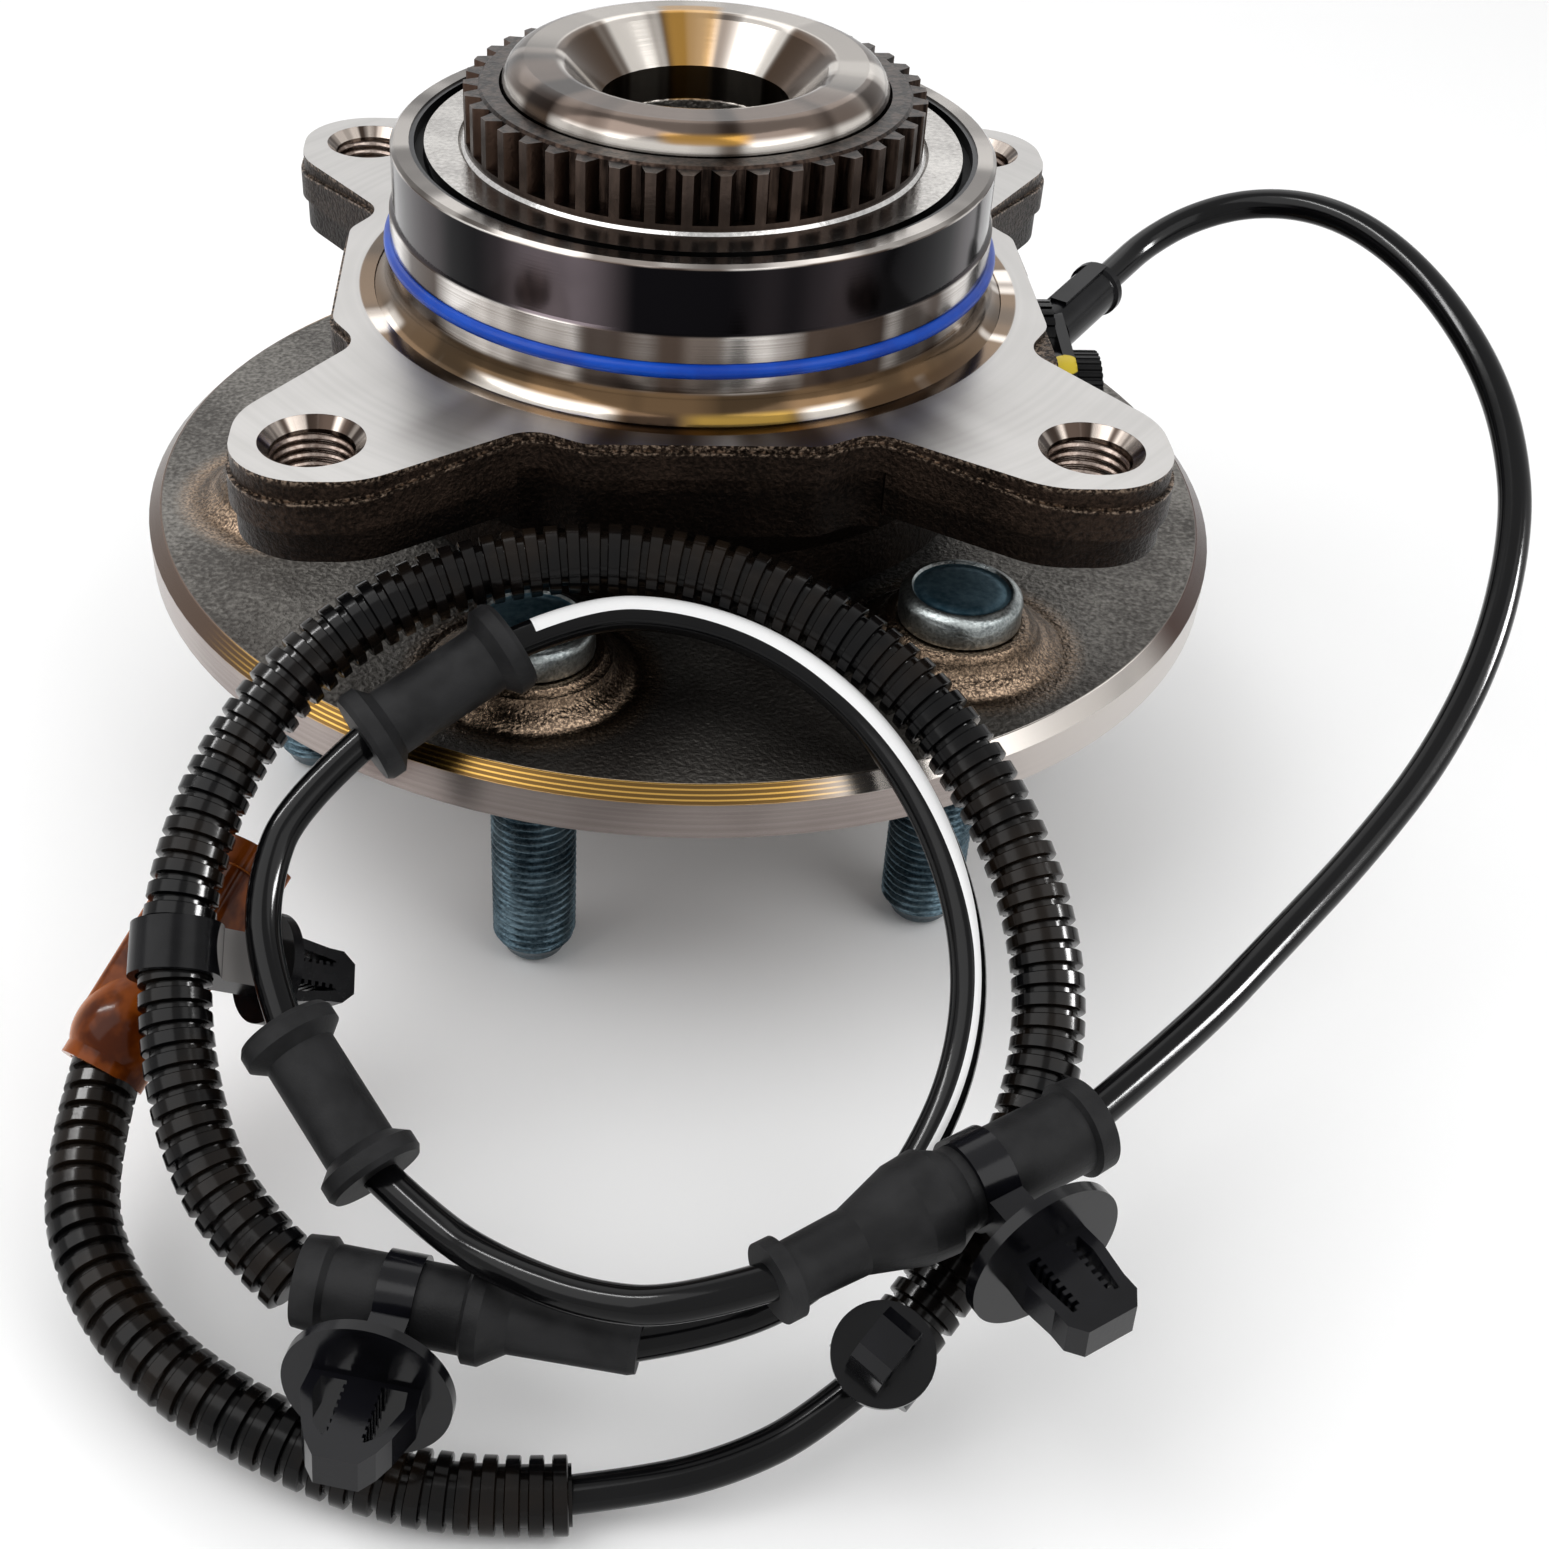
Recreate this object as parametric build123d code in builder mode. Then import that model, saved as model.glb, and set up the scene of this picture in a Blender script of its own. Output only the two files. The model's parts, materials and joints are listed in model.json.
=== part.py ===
from build123d import *
from math import cos, pi, radians, sin, tan
import os

# Driving dimensions, in mm.  The origin is on the bearing's axis in the plane of the wheel studs' tips,
# +Z runs from the wheel towards the knuckle, and the four ears are set square to X and Y.

# wheel side
stud_count = 6
stud_circle = 135.0          # pitch circle of the wheel studs
stud_diameter = 14.0
stud_reach = 48.0            # from the wheel face to the stud's tip
stud_head_diameter = 19.4
stud_head_height = 5.6
stud_tip_diameter = 10.6
stud_tip_height = 3.0
stud_knurl_diameter = 14.6
stud_angle = 8.0             # where the first stud stands, from +X
flange_diameter = 185.0
flange_thickness = 8.2
flange_edge = 2.1            # chamfer round the flange's top edge
boss_rise = 4.6              # height of a stud's boss above the flange
boss_diameter = 25.0
boss_slope = 5.5             # how far a boss spreads towards its foot
wheel_pilot_diameter = 87.0
wheel_pilot_height = 13.0
wheel_cup_diameter = 70.0
wheel_cup_depth = 17.0
relief_width = 2.6           # turned groove between the wheel pilot and the wheel face

# hub spindle
bore_diameter = 30.0
journal_diameter = 48.0
shoulder_rise = 2.3          # from the flange's top to the face that the rings press on
shoulder_diameter = 72.0
head_diameter = 61.2         # formed head that clamps the rings
head_flat_diameter = 54.0
head_height = 8.2
mouth_diameter = 41.4
mouth_depth = 6.6
mouth_round = 2.5            # radius between the head's flat and its mouth

# bearing rows
row_spacing = 29.5           # between the two rows' centres
pitch_diameter = 72.0        # through the rollers' centres
roller_count = 19
roller_length = 15.0
roller_diameter = 8.6        # at the middle of a roller
outer_angle = 20.0           # of the outer raceway to the axis
roller_taper = 2.1           # half angle of a roller
raceway_gap = 0.15
rib_diameter = 75.2          # large ribs of the inner rings
rib_face_gap = 0.3
small_rib_height = 1.0
cage_thickness = 1.6
cage_end = 1.7
cage_gap = 0.25

# clutch ring
clutch_teeth = 42
head_gap = 0.4               # between the formed head and the ring round it
clutch_wall = 3.3            # of the ring between the head and the tooth roots
clutch_tooth_depth = 2.3
clutch_height = 8.9
clutch_tooth_height = 8.0
clutch_edge = 0.4            # chamfer inside the top of the tooth roots
clutch_land_share = 0.30     # width of a tooth's tip as a share of the tooth pitch
clutch_gap_share = 0.18      # width of a tooth space's floor as a share of the tooth pitch

# housing
plate_thickness = 13.4
plate_band = 4.6             # height of the machined upper edge beside the barrel
forging_grow = 0.6           # how far the forging's middle tier stands out from the upper edge
boss_shrink = 0.3            # how far the ears' lower bosses stand back from it
flash_inner, flash_outer = 0.4, 3.9       # depth of the middle tier's top at its two radii
under_inner, under_outer = 4.7, 8.9       # depth of its underside at the same radii
tier_inner, tier_outer = 50.0, 97.0
bolt_spacing = 114.0         # between the knuckle bolts, both ways
bolt_hole_diameter = 12.6    # thread's minor diameter
bolt_sink_diameter = 15.8
ear_corner = 12.0
side_rise = 3.5              # of each flat side beyond the barrel
side_width = 35.0
side_notch = 4.7             # how deep the waist is cut between a flat side and an ear
notch_from_centre = 25.5
ear_land = 19.93             # straight edge between an ear's corner and its flank
pilot_diameter = 98.0
pilot_height = 23.8
black_band_diameter = 96.8
black_band_height = 10.6
pilot_fillet = 4.3
ring_groove_centre = 7.5     # above the knuckle face
ring_section = 2.3
ring_groove_depth = 1.2
barrel_diameter = 108.0
barrel_end_diameter = 100.0
barrel_length = 33.0         # from the knuckle face to the outboard end
pad_width = 55.0             # of the web under each flat side
pad_inset = 1.9              # how far that web stands back from the flat side
pad_depth = 16.5             # from the knuckle face to its foot
seal_bore_inboard = 90.8
seal_bore_outboard = 90.0
knuckle_face_rise = 45.2     # from the wheel face to the knuckle face

# seals
seal_wall = 0.8
slinger_diameter = 86.0
seal_recess = 0.3
lip_gap = 0.4

# speed sensor
tone_teeth = 44
tone_diameter = 70.4
tone_height = 4.8
tone_tooth_depth = 2.0
tone_seat = 0.3              # below the joint between the inner rings
sensor_height = 85.3          # of the probe
sensor_seat_height = 83.8     # of the serrated seat round it
sensor_hole_diameter = 7.2
sensor_probe_clearance = 0.05
sensor_air_gap = 0.8
sensor_head_diameter = 18.0
sensor_head_thickness = 2.4
sensor_side = -8.0           # how far the serrated seat sits from the X axis
serrations = 26
serration_depth = 0.7
sensor_body_thickness = 1.9
sensor_body_margin = 1.4     # how far the body stands back from the seat's rim
sensor_boss_side = -12.5     # the middle of the housing's sensor boss, from the X axis
sensor_boss_width = 34.0
cap_diameter = 15.0
cap_foot_diameter = 14.6
cap_length = 4.0
cap_side = -20.5
cap_height = 82.5
cap_flutes = 36
cap_flute_depth = 0.35
sensor_tube_diameter = 8.4
sensor_tube_length = 14.8
sensor_tube_collar = 9.4     # diameter of the lip at the tube's end
sensor_key_width = 3.0

# harness
lead_diameter = 5.0
conduit_diameter = 10.0
entry = 2.0                  # how deep a lead is moulded into a piece
grommet_collar = 14.0
grommet_body = 10.2
front_body = 11.0
right_body = 11.2
clip_band = 1.1
clip_width = 7.4
clip_gap = 0.3               # round a conduit, which bends inside the band
strap_band = 0.7
strap_width = 5.0
clip_block = 6.0
dish_diameter = 22.0
small_dish_diameter = 16.0
lower_dish_diameter = 13.4
lower_clip_width = 5.4
dish_thickness = 1.6
stem_length = 14.0
stem_thickness = 5.0
stem_rail = 1.5              # width of the two outer rails of a stem
stem_ribs = 7                # cross ribs on the bar between them
rib_share = 0.5              # height of a cross rib as a share of the ribs' pitch
# each stem's width at the dish and at its tip, its bar's width and its ribs' height
front_stem = (14.0, 8.0, 4.2, 0.3)
right_stem = (11.0, 9.6, 4.0, 0.8)
small_stem = (8.6, 6.8, 2.6, 0.6)
connector_width = 12.0
connector_depth = 11.0
connector_length = 30.0
connector_collar = 8.0       # from the conduit's end to the rectangular body
connector_wall = 1.4         # round the conduit
connector_neck = 15.0        # length of the rounded neck
connector_rim = 1.2
connector_rim_height = 4.0
latch_width = 6.0
terminal_spacing = 5.0
terminal_depth = 10.0

# worked out from the values above
wheel_face = stud_reach
flange_top = wheel_face + flange_thickness
boss_top = flange_top + boss_rise
shoulder = flange_top + shoulder_rise
knuckle_face = wheel_face + knuckle_face_rise
side_half = barrel_diameter / 2 + side_rise
beyond = 4 * side_half       # longer than anything that it cuts
clutch_root_diameter = head_diameter + 2 * (head_gap + clutch_wall)
clutch_tip_diameter = clutch_root_diameter + 2 * clutch_tooth_depth
plate_bottom = knuckle_face - plate_thickness
parting = knuckle_face - plate_band
pilot_top = knuckle_face + pilot_height
barrel_end = knuckle_face - barrel_length
row_middle = (shoulder + pilot_top) / 2
ring_end = pilot_top
stud_radius = stud_circle / 2
Z_AXIS = Vector(0, 0, 1)

# the rollers' cone, in the plane of radius and distance outward from a row's centre
roller_angle = outer_angle - roller_taper
inner_angle = outer_angle - 2 * roller_taper
roller_sin = sin(radians(roller_angle))
roller_cos = cos(radians(roller_angle))
roller_tan = tan(radians(roller_taper))
half_roller = roller_length / 2
cage_half = half_roller + cage_gap + cage_end
cage_out = cage_half * roller_cos + cage_thickness / 2 * roller_sin
inboard_cage_end = row_middle + row_spacing / 2 + cage_out
outboard_cage_end = row_middle - row_spacing / 2 - cage_out

os.makedirs("parts", exist_ok=True)


def save(piece, name):
    piece.part.label = name
    export_step(piece.part, f"parts/{name}.step")


def generator(along, side, gap):
    """Point beside a roller: along its axis from the middle, on the outer (+1) or inner (-1) side."""
    radius = roller_diameter / 2 + along * roller_tan + gap / cos(radians(roller_taper))
    r = pitch_diameter / 2 + along * roller_sin + side * radius * roller_cos
    out = along * roller_cos - side * radius * roller_sin
    return r, out


def row_point(row, along, side, gap):
    """The same point in the model: row is +1 for the knuckle side and -1 for the wheel side."""
    r, out = generator(along, side, gap)
    return r, row_middle + row * (row_spacing / 2 + out)


def turned(points):
    """A full turn of a closed outline, given as radius and height."""
    with BuildPart() as piece:
        with BuildSketch(Plane.XZ):
            with BuildLine():
                Polyline(*points, close=True)
            make_face()
        revolve(axis=Axis.Z)
    return piece


def axis_plane(start, direction):
    """A plane through start whose Y runs along direction, for turning pieces about that line."""
    along = Vector(direction).normalized()
    side = along.cross(Z_AXIS).normalized()
    return Plane(origin=start, x_dir=side, z_dir=side.cross(along))


# ------------------------------------------------------------------ hub
with BuildPart() as hub:
    pilot_radius = wheel_pilot_diameter / 2
    cup_radius = wheel_cup_diameter / 2
    pilot_bottom = wheel_face - wheel_pilot_height
    cup_floor = pilot_bottom + wheel_cup_depth
    head_top = pilot_top + clutch_height - head_height * 0.5 + head_height
    head_seat = head_top - head_height
    with BuildSketch(Plane.XZ):
        with BuildLine():
            Polyline(
                (bore_diameter / 2, cup_floor + 6),
                (cup_radius - 9, cup_floor),
                (cup_radius, cup_floor),
                (cup_radius, pilot_bottom),
                (pilot_radius - 1.5, pilot_bottom),
                (pilot_radius, pilot_bottom + 1.5),
                (pilot_radius, wheel_face + 1.2),
                (pilot_radius + relief_width, wheel_face + 1.2),
                (pilot_radius + relief_width, wheel_face),
                (flange_diameter / 2, wheel_face),
                (flange_diameter / 2, flange_top - flange_edge),
                (flange_diameter / 2 - flange_edge, flange_top),
                (shoulder_diameter / 2 + 4, flange_top),
                (shoulder_diameter / 2, shoulder),
                (journal_diameter / 2, shoulder),
                (journal_diameter / 2, head_seat),
                (head_diameter / 2 - 3, head_seat),
            )
            ThreePointArc(
                (head_diameter / 2 - 3, head_seat),
                (head_diameter / 2, head_seat + 0.48 * head_height),
                (head_flat_diameter / 2, head_top),
            )
            Polyline(
                (head_flat_diameter / 2, head_top),
                (mouth_diameter / 2 + mouth_round * sin(pi / 4), head_top),
            )
            ThreePointArc(
                (mouth_diameter / 2 + mouth_round * sin(pi / 4), head_top),
                (
                    mouth_diameter / 2 + mouth_round * (sin(pi / 4) - sin(pi / 8)),
                    head_top - mouth_round * (1 - cos(pi / 8)),
                ),
                (mouth_diameter / 2, head_top - mouth_round * (1 - cos(pi / 4))),
            )
            Polyline(
                (mouth_diameter / 2, head_top - mouth_round * (1 - cos(pi / 4))),
                (bore_diameter / 2, head_top - mouth_depth),
                (bore_diameter / 2, cup_floor + 6),
            )
        make_face()
    revolve(axis=Axis.Z)
    boss_radius = boss_diameter / 2
    with BuildSketch(Plane.XZ):
        with BuildLine():
            Polyline(
                (boss_radius, boss_top - 0.8),
                (boss_radius - 1.4, boss_top),
                (0, boss_top),
                (0, flange_top - 1),
                (boss_radius + boss_slope, flange_top - 1),
                (boss_radius + boss_slope, flange_top),
            )
            ThreePointArc(
                (boss_radius + boss_slope, flange_top),
                (boss_radius + 0.3 * boss_slope, flange_top + 0.3 * boss_rise),
                (boss_radius, boss_top - 0.8),
            )
        make_face()
    one_boss = revolve(axis=Axis.Z, mode=Mode.PRIVATE)
    with PolarLocations(stud_radius, stud_count, start_angle=stud_angle):
        add(one_boss)
    with Locations(Plane.XY.offset(boss_top)):
        with PolarLocations(stud_radius, stud_count, start_angle=stud_angle):
            Hole(stud_knurl_diameter / 2, depth=boss_top - wheel_face)
save(hub, "hub")

with BuildPart() as wheel_studs:
    with BuildSketch(Plane.XZ):
        with BuildLine():
            Polyline(
                (0, 0),
                (stud_tip_diameter / 2, 0),
                (stud_diameter / 2, stud_tip_height),
                (stud_diameter / 2, wheel_face),
                (stud_knurl_diameter / 2, wheel_face),
                (stud_knurl_diameter / 2, boss_top),
                (stud_head_diameter / 2, boss_top),
                (stud_head_diameter / 2, boss_top + stud_head_height - 1.2),
                (stud_head_diameter / 2 - 1.2, boss_top + stud_head_height),
                (0, boss_top + stud_head_height),
                close=True,
            )
        make_face()
    one_stud = revolve(axis=Axis.Z, mode=Mode.PRIVATE)
    with PolarLocations(stud_radius, stud_count, start_angle=stud_angle):
        add(one_stud)
save(wheel_studs, "wheel_studs")

with BuildPart() as clutch_ring:
    ring_top = ring_end + clutch_height
    tooth_foot = ring_top - clutch_tooth_height
    with BuildSketch(Plane.XZ):
        with BuildLine():
            Polyline(
                (journal_diameter / 2, ring_end),
                (clutch_tip_diameter / 2, ring_end),
                (clutch_tip_diameter / 2, tooth_foot),
                (clutch_root_diameter / 2, tooth_foot),
                (clutch_root_diameter / 2, ring_top - clutch_edge),
                (clutch_root_diameter / 2 - clutch_edge, ring_top),
                (head_diameter / 2 + head_gap, ring_top),
                (head_diameter / 2 + head_gap, head_seat),
                (journal_diameter / 2, head_seat),
                close=True,
            )
        make_face()
    revolve(axis=Axis.Z)
    tooth_pitch = pi * clutch_tip_diameter / clutch_teeth
    tip_half = tooth_pitch * clutch_land_share / 2
    foot_half = pi * clutch_root_diameter / clutch_teeth * (1 - clutch_gap_share) / 2
    with BuildSketch(Plane.XY.offset(tooth_foot)):
        with BuildLine():
            Polyline(
                (clutch_root_diameter / 2 - 0.6, -foot_half),
                (clutch_tip_diameter / 2, -tip_half),
                (clutch_tip_diameter / 2, tip_half),
                (clutch_root_diameter / 2 - 0.6, foot_half),
                close=True,
            )
        one_tooth = make_face(mode=Mode.PRIVATE)
        with PolarLocations(0, clutch_teeth):
            add(one_tooth)
    extrude(amount=clutch_tooth_height - clutch_edge)
save(clutch_ring, "clutch_ring")

# ------------------------------------------------------------------ bearing rows
for row, row_name in ((1, "inboard"), (-1, "outboard")):
    inner_start = row_point(row, -half_roller - 0.6, -1, raceway_gap)
    inner_end = row_point(row, half_roller + rib_face_gap, -1, raceway_gap)
    end = ring_end if row > 0 else shoulder
    split_face = row_middle
    rib_radius = rib_diameter / 2
    rib_rise = rib_radius - inner_end[0]
    rib_foot = inner_end[1] - row * rib_rise * roller_sin / roller_cos
    inner_ring = turned(
        [
            (journal_diameter / 2, split_face),
            (inner_start[0] + small_rib_height, split_face),
            (inner_start[0] + small_rib_height, inner_start[1]),
            inner_start,
            inner_end,
            (rib_radius, rib_foot),
            (rib_radius, end - row * 0.8),
            (rib_radius - 0.8, end),
            (journal_diameter / 2, end),
        ]
    )
    save(inner_ring, f"inner_ring_{row_name}")

    row_height = row_middle + row * row_spacing / 2
    lean = Vector(roller_sin, 0, row * roller_cos)
    centre = Vector(pitch_diameter / 2, 0, row_height)
    with BuildPart() as rollers:
        with BuildSketch(axis_plane(centre, lean)):
            with BuildLine():
                Polyline(
                    (0, -half_roller),
                    (roller_diameter / 2 - half_roller * roller_tan, -half_roller),
                    (roller_diameter / 2 + half_roller * roller_tan, half_roller),
                    (0, half_roller),
                    close=True,
                )
            make_face()
        one_roller = revolve(axis=Axis(centre, lean), mode=Mode.PRIVATE)
        with PolarLocations(0, roller_count):
            add(one_roller)
    save(rollers, f"rollers_{row_name}")

    across = Vector(roller_cos, 0, -row * roller_sin)
    corners = [
        centre + lean * a + across * b
        for a, b in (
            (-cage_half, -cage_thickness / 2),
            (-cage_half, cage_thickness / 2),
            (cage_half, cage_thickness / 2),
            (cage_half, -cage_thickness / 2),
        )
    ]
    small = roller_diameter / 2 - half_roller * roller_tan + cage_gap
    large = roller_diameter / 2 + half_roller * roller_tan + cage_gap
    big_end = row * (half_roller + cage_gap)
    with BuildPart() as cage:
        with BuildSketch(Plane.XZ):
            with BuildLine():
                Polyline(*[(p.X, p.Z) for p in corners], close=True)
            make_face()
        revolve(axis=Axis.Z)
        with BuildSketch(Plane(origin=centre, x_dir=Vector(0, 1, 0), z_dir=across)):
            with BuildLine():
                Polyline(
                    (-small, -big_end),
                    (small, -big_end),
                    (large, big_end),
                    (-large, big_end),
                    close=True,
                )
            make_face()
        one_pocket = extrude(amount=cage_thickness, both=True, mode=Mode.PRIVATE)
        with PolarLocations(0, roller_count):
            add(one_pocket, mode=Mode.SUBTRACT)
    save(cage, f"cage_{row_name}")

with BuildPart() as tone_ring:
    small_rib = row_point(1, -half_roller - 0.6, -1, raceway_gap)[0] + small_rib_height
    with BuildSketch(Plane.XY.offset(row_middle - tone_seat - tone_height)):
        Circle(tone_diameter / 2)
        with PolarLocations(tone_diameter / 2, tone_teeth):
            Rectangle(2 * tone_tooth_depth, pi * tone_diameter / tone_teeth / 2, mode=Mode.SUBTRACT)
        Circle(small_rib, mode=Mode.SUBTRACT)
    extrude(amount=tone_height)
save(tone_ring, "tone_ring")

# ------------------------------------------------------------------ housing
def outline(grow):
    """The plate's outline: four flat sides, a waist beside each, and four ears."""
    side = side_half + grow
    waist = side_half - side_notch + grow
    ear = bolt_spacing / 2 + ear_corner + grow
    flank = bolt_spacing / 2 + ear_corner - ear_land
    points = []
    for quarter in range(4):
        for x, y in (
            (-side_width / 2, side),
            (side_width / 2, side),
            (notch_from_centre, waist),
            (flank, ear),
            (ear, ear),
            (ear, flank),
            (waist, notch_from_centre),
        ):
            turn = radians(-90 * quarter)
            points.append((x * cos(turn) - y * sin(turn), x * sin(turn) + y * cos(turn)))
    with BuildSketch() as shape:
        with BuildLine():
            Polyline(*points, close=True)
        make_face()
        corners = shape.vertices().filter_by(lambda v: abs(abs(v.X) - abs(v.Y)) < 0.01 and abs(v.X) > waist)
        fillet(corners, ear_corner + grow)
        shoulders = shape.vertices().filter_by(
            lambda v: abs(max(abs(v.X), abs(v.Y)) - ear) < 0.01 and abs(min(abs(v.X), abs(v.Y)) - flank) < 0.01
        )
        fillet(shoulders, 14)
        waists = shape.vertices().filter_by(lambda v: abs(min(abs(v.X), abs(v.Y)) - notch_from_centre) < 0.01)
        fillet(waists, 6)
        sides = shape.vertices().filter_by(lambda v: abs(min(abs(v.X), abs(v.Y)) - side_width / 2) < 0.01)
        fillet(sides, 6)
    return shape.sketch


with BuildPart() as forging:
    with BuildSketch(Plane.XY.offset(plate_bottom)):
        add(outline(forging_grow))
        Circle(barrel_diameter / 2 - 2, mode=Mode.SUBTRACT)
    extrude(amount=plate_thickness)
    with BuildSketch(Plane.XZ):
        with BuildLine():
            Polyline(
                (tier_inner, knuckle_face - flash_inner),
                (tier_outer, knuckle_face - flash_outer),
                (tier_outer, knuckle_face - under_outer),
                (tier_inner, knuckle_face - under_inner),
                close=True,
            )
        make_face()
    revolve(axis=Axis.Z, mode=Mode.INTERSECT)

with BuildPart() as housing:
    in_lip = row_point(1, half_roller + 1, 1, raceway_gap)
    in_race = row_point(1, -half_roller - 1, 1, raceway_gap)
    out_lip = row_point(-1, half_roller + 1, 1, raceway_gap)
    out_race = row_point(-1, -half_roller - 1, 1, raceway_gap)
    groove = knuckle_face + ring_groove_centre
    groove_half = ring_section / 2 + 0.1
    pilot_r = pilot_diameter / 2
    band_r = black_band_diameter / 2
    band_foot = pilot_top - black_band_height
    with BuildSketch(Plane.XZ):
        with BuildLine():
            Polyline(
                (seal_bore_outboard / 2, barrel_end),
                (barrel_end_diameter / 2, barrel_end),
                (barrel_end_diameter / 2, barrel_end + 9),
                (barrel_diameter / 2, plate_bottom - 3),
                (barrel_diameter / 2, parting),
                (pilot_r + pilot_fillet + 2.5, parting),
                (pilot_r + pilot_fillet + 2.5, knuckle_face),
                (pilot_r + pilot_fillet + 0.9, knuckle_face),
                (pilot_r + pilot_fillet + 0.9, knuckle_face - 0.4),
                (pilot_r + pilot_fillet, knuckle_face - 0.4),
            )
            ThreePointArc(
                (pilot_r + pilot_fillet, knuckle_face - 0.4),
                (
                    pilot_r + pilot_fillet * (1 - cos(pi / 4)),
                    knuckle_face - 0.4 + pilot_fillet * (1 - sin(pi / 4)),
                ),
                (pilot_r, knuckle_face - 0.4 + pilot_fillet),
            )
            Polyline(
                (pilot_r, knuckle_face - 0.4 + pilot_fillet),
                (pilot_r, groove - groove_half),
                (pilot_r - ring_groove_depth, groove - groove_half),
                (pilot_r - ring_groove_depth, groove + groove_half),
                (pilot_r, groove + groove_half),
                (pilot_r, band_foot - 0.4),
                (band_r, band_foot),
                (band_r, pilot_top - 0.6),
                (band_r - 0.6, pilot_top),
                (seal_bore_inboard / 2, pilot_top),
                (seal_bore_inboard / 2, in_lip[1]),
                in_lip,
                in_race,
                (in_race[0], in_race[1] - 0.1),
                (out_race[0], out_race[1] + 0.1),
                out_race,
                out_lip,
                (seal_bore_outboard / 2, out_lip[1]),
                (seal_bore_outboard / 2, barrel_end),
            )
        make_face()
    revolve(axis=Axis.Z)
    with BuildSketch(Plane.XY.offset(parting)):
        add(outline(0))
        Circle(barrel_diameter / 2 - 2, mode=Mode.SUBTRACT)
    extrude(amount=plate_band)
    add(forging.part)
    with BuildSketch(Plane.XY.offset(plate_bottom)):
        add(outline(-boss_shrink))
        Circle(barrel_diameter / 2 - 2, mode=Mode.SUBTRACT)
        Rectangle(pad_width, beyond, mode=Mode.SUBTRACT)
        Rectangle(beyond, pad_width, mode=Mode.SUBTRACT)
    extrude(amount=plate_thickness - plate_band)
    with BuildSketch(Plane.XY.offset(knuckle_face - pad_depth)):
        Rectangle(pad_width, beyond)
        Rectangle(beyond, pad_width)
        add(outline(-pad_inset), mode=Mode.INTERSECT)
        Circle(barrel_diameter / 2 - 2, mode=Mode.SUBTRACT)
    extrude(amount=pad_depth - plate_band)
    boss_depth = knuckle_face - 1 - (sensor_seat_height - sensor_head_diameter / 2)
    with BuildSketch(Plane.YZ.offset(barrel_diameter / 2 - 6)):
        with Locations((sensor_boss_side, knuckle_face - 1 - boss_depth / 2)):
            RectangleRounded(sensor_boss_width, boss_depth, 3)
    extrude(amount=side_half - barrel_diameter / 2 + 6)
    with BuildSketch(Plane.YZ.offset(side_half)):
        with Locations((sensor_boss_side, knuckle_face)):
            Rectangle(sensor_boss_width, beyond)
    extrude(amount=2 * forging_grow, mode=Mode.SUBTRACT)
    with Locations(Plane.XY.offset(knuckle_face)):
        with GridLocations(bolt_spacing, bolt_spacing, 2, 2):
            CounterSinkHole(bolt_hole_diameter / 2, bolt_sink_diameter / 2, depth=plate_thickness, counter_sink_angle=90)
    with BuildSketch(Plane.YZ.offset(in_race[0] - 5)):
        with Locations((sensor_side, sensor_height)):
            Circle(sensor_hole_diameter / 2)
    extrude(amount=40, mode=Mode.SUBTRACT)
save(housing, "housing")

with BuildPart() as o_ring:
    with BuildSketch(Plane.XZ):
        with Locations((pilot_r - ring_groove_depth + ring_section / 2, groove)):
            Circle(ring_section / 2)
    revolve(axis=Axis.Z)
save(o_ring, "pilot_o_ring")

# inboard cassette seal: a case pressed into the housing and a slinger pressed on the inner ring
case_r = seal_bore_inboard / 2
case_top = pilot_top - seal_recess
case_foot = inboard_cage_end + 0.5
case = turned(
    [
        (case_r - seal_wall, case_top),
        (case_r, case_top),
        (case_r, case_foot),
        (rib_diameter / 2 + 2.2, case_foot),
        (rib_diameter / 2 + 2.2, case_foot + seal_wall),
        (case_r - seal_wall, case_foot + seal_wall),
    ]
)
save(case, "seal_case")

slinger_top = pilot_top - seal_recess
rib_r = rib_diameter / 2
slinger = turned(
    [
        (rib_r, case_foot + 1.6),
        (rib_r + seal_wall, case_foot + 1.6),
        (rib_r + seal_wall, slinger_top - seal_wall),
        (slinger_diameter / 2, slinger_top - seal_wall),
        (slinger_diameter / 2, slinger_top),
        (rib_r, slinger_top),
    ]
)
save(slinger, "seal_slinger")

lip = turned(
    [
        (case_r - seal_wall, case_foot + seal_wall),
        (case_r - seal_wall, case_foot + 2.4),
        (case_r - seal_wall - 1.4, case_foot + 2.4),
        (case_r - seal_wall - 2.2, case_foot + 1.5),
        (rib_r + seal_wall + lip_gap + 0.8, case_foot + 2.0),
        (rib_r + seal_wall + lip_gap, case_foot + 1.7),
        (rib_r + seal_wall + lip_gap + 1.0, case_foot + seal_wall),
    ]
)
save(lip, "seal_lip")

out_r = seal_bore_outboard / 2
seal_top = outboard_cage_end - 0.5
outer_seal = turned(
    [
        (out_r, barrel_end + seal_recess),
        (out_r, seal_top),
        (rib_r + lip_gap + 1.6, seal_top),
        (rib_r + lip_gap, seal_top - 0.9),
        (rib_r + lip_gap, barrel_end + seal_recess + 0.7),
        (rib_r + lip_gap + 1.0, barrel_end + seal_recess),
    ]
)
save(outer_seal, "outboard_seal")

# ------------------------------------------------------------------ speed sensor
sensor_face = side_half
with BuildPart() as probe:
    tip = tone_diameter / 2 + sensor_air_gap
    with BuildSketch(Plane.YZ.offset(tip)):
        with Locations((sensor_side, sensor_height)):
            Circle(sensor_hole_diameter / 2 - sensor_probe_clearance)
    extrude(amount=sensor_face - tip)
save(probe, "sensor_probe")

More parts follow.
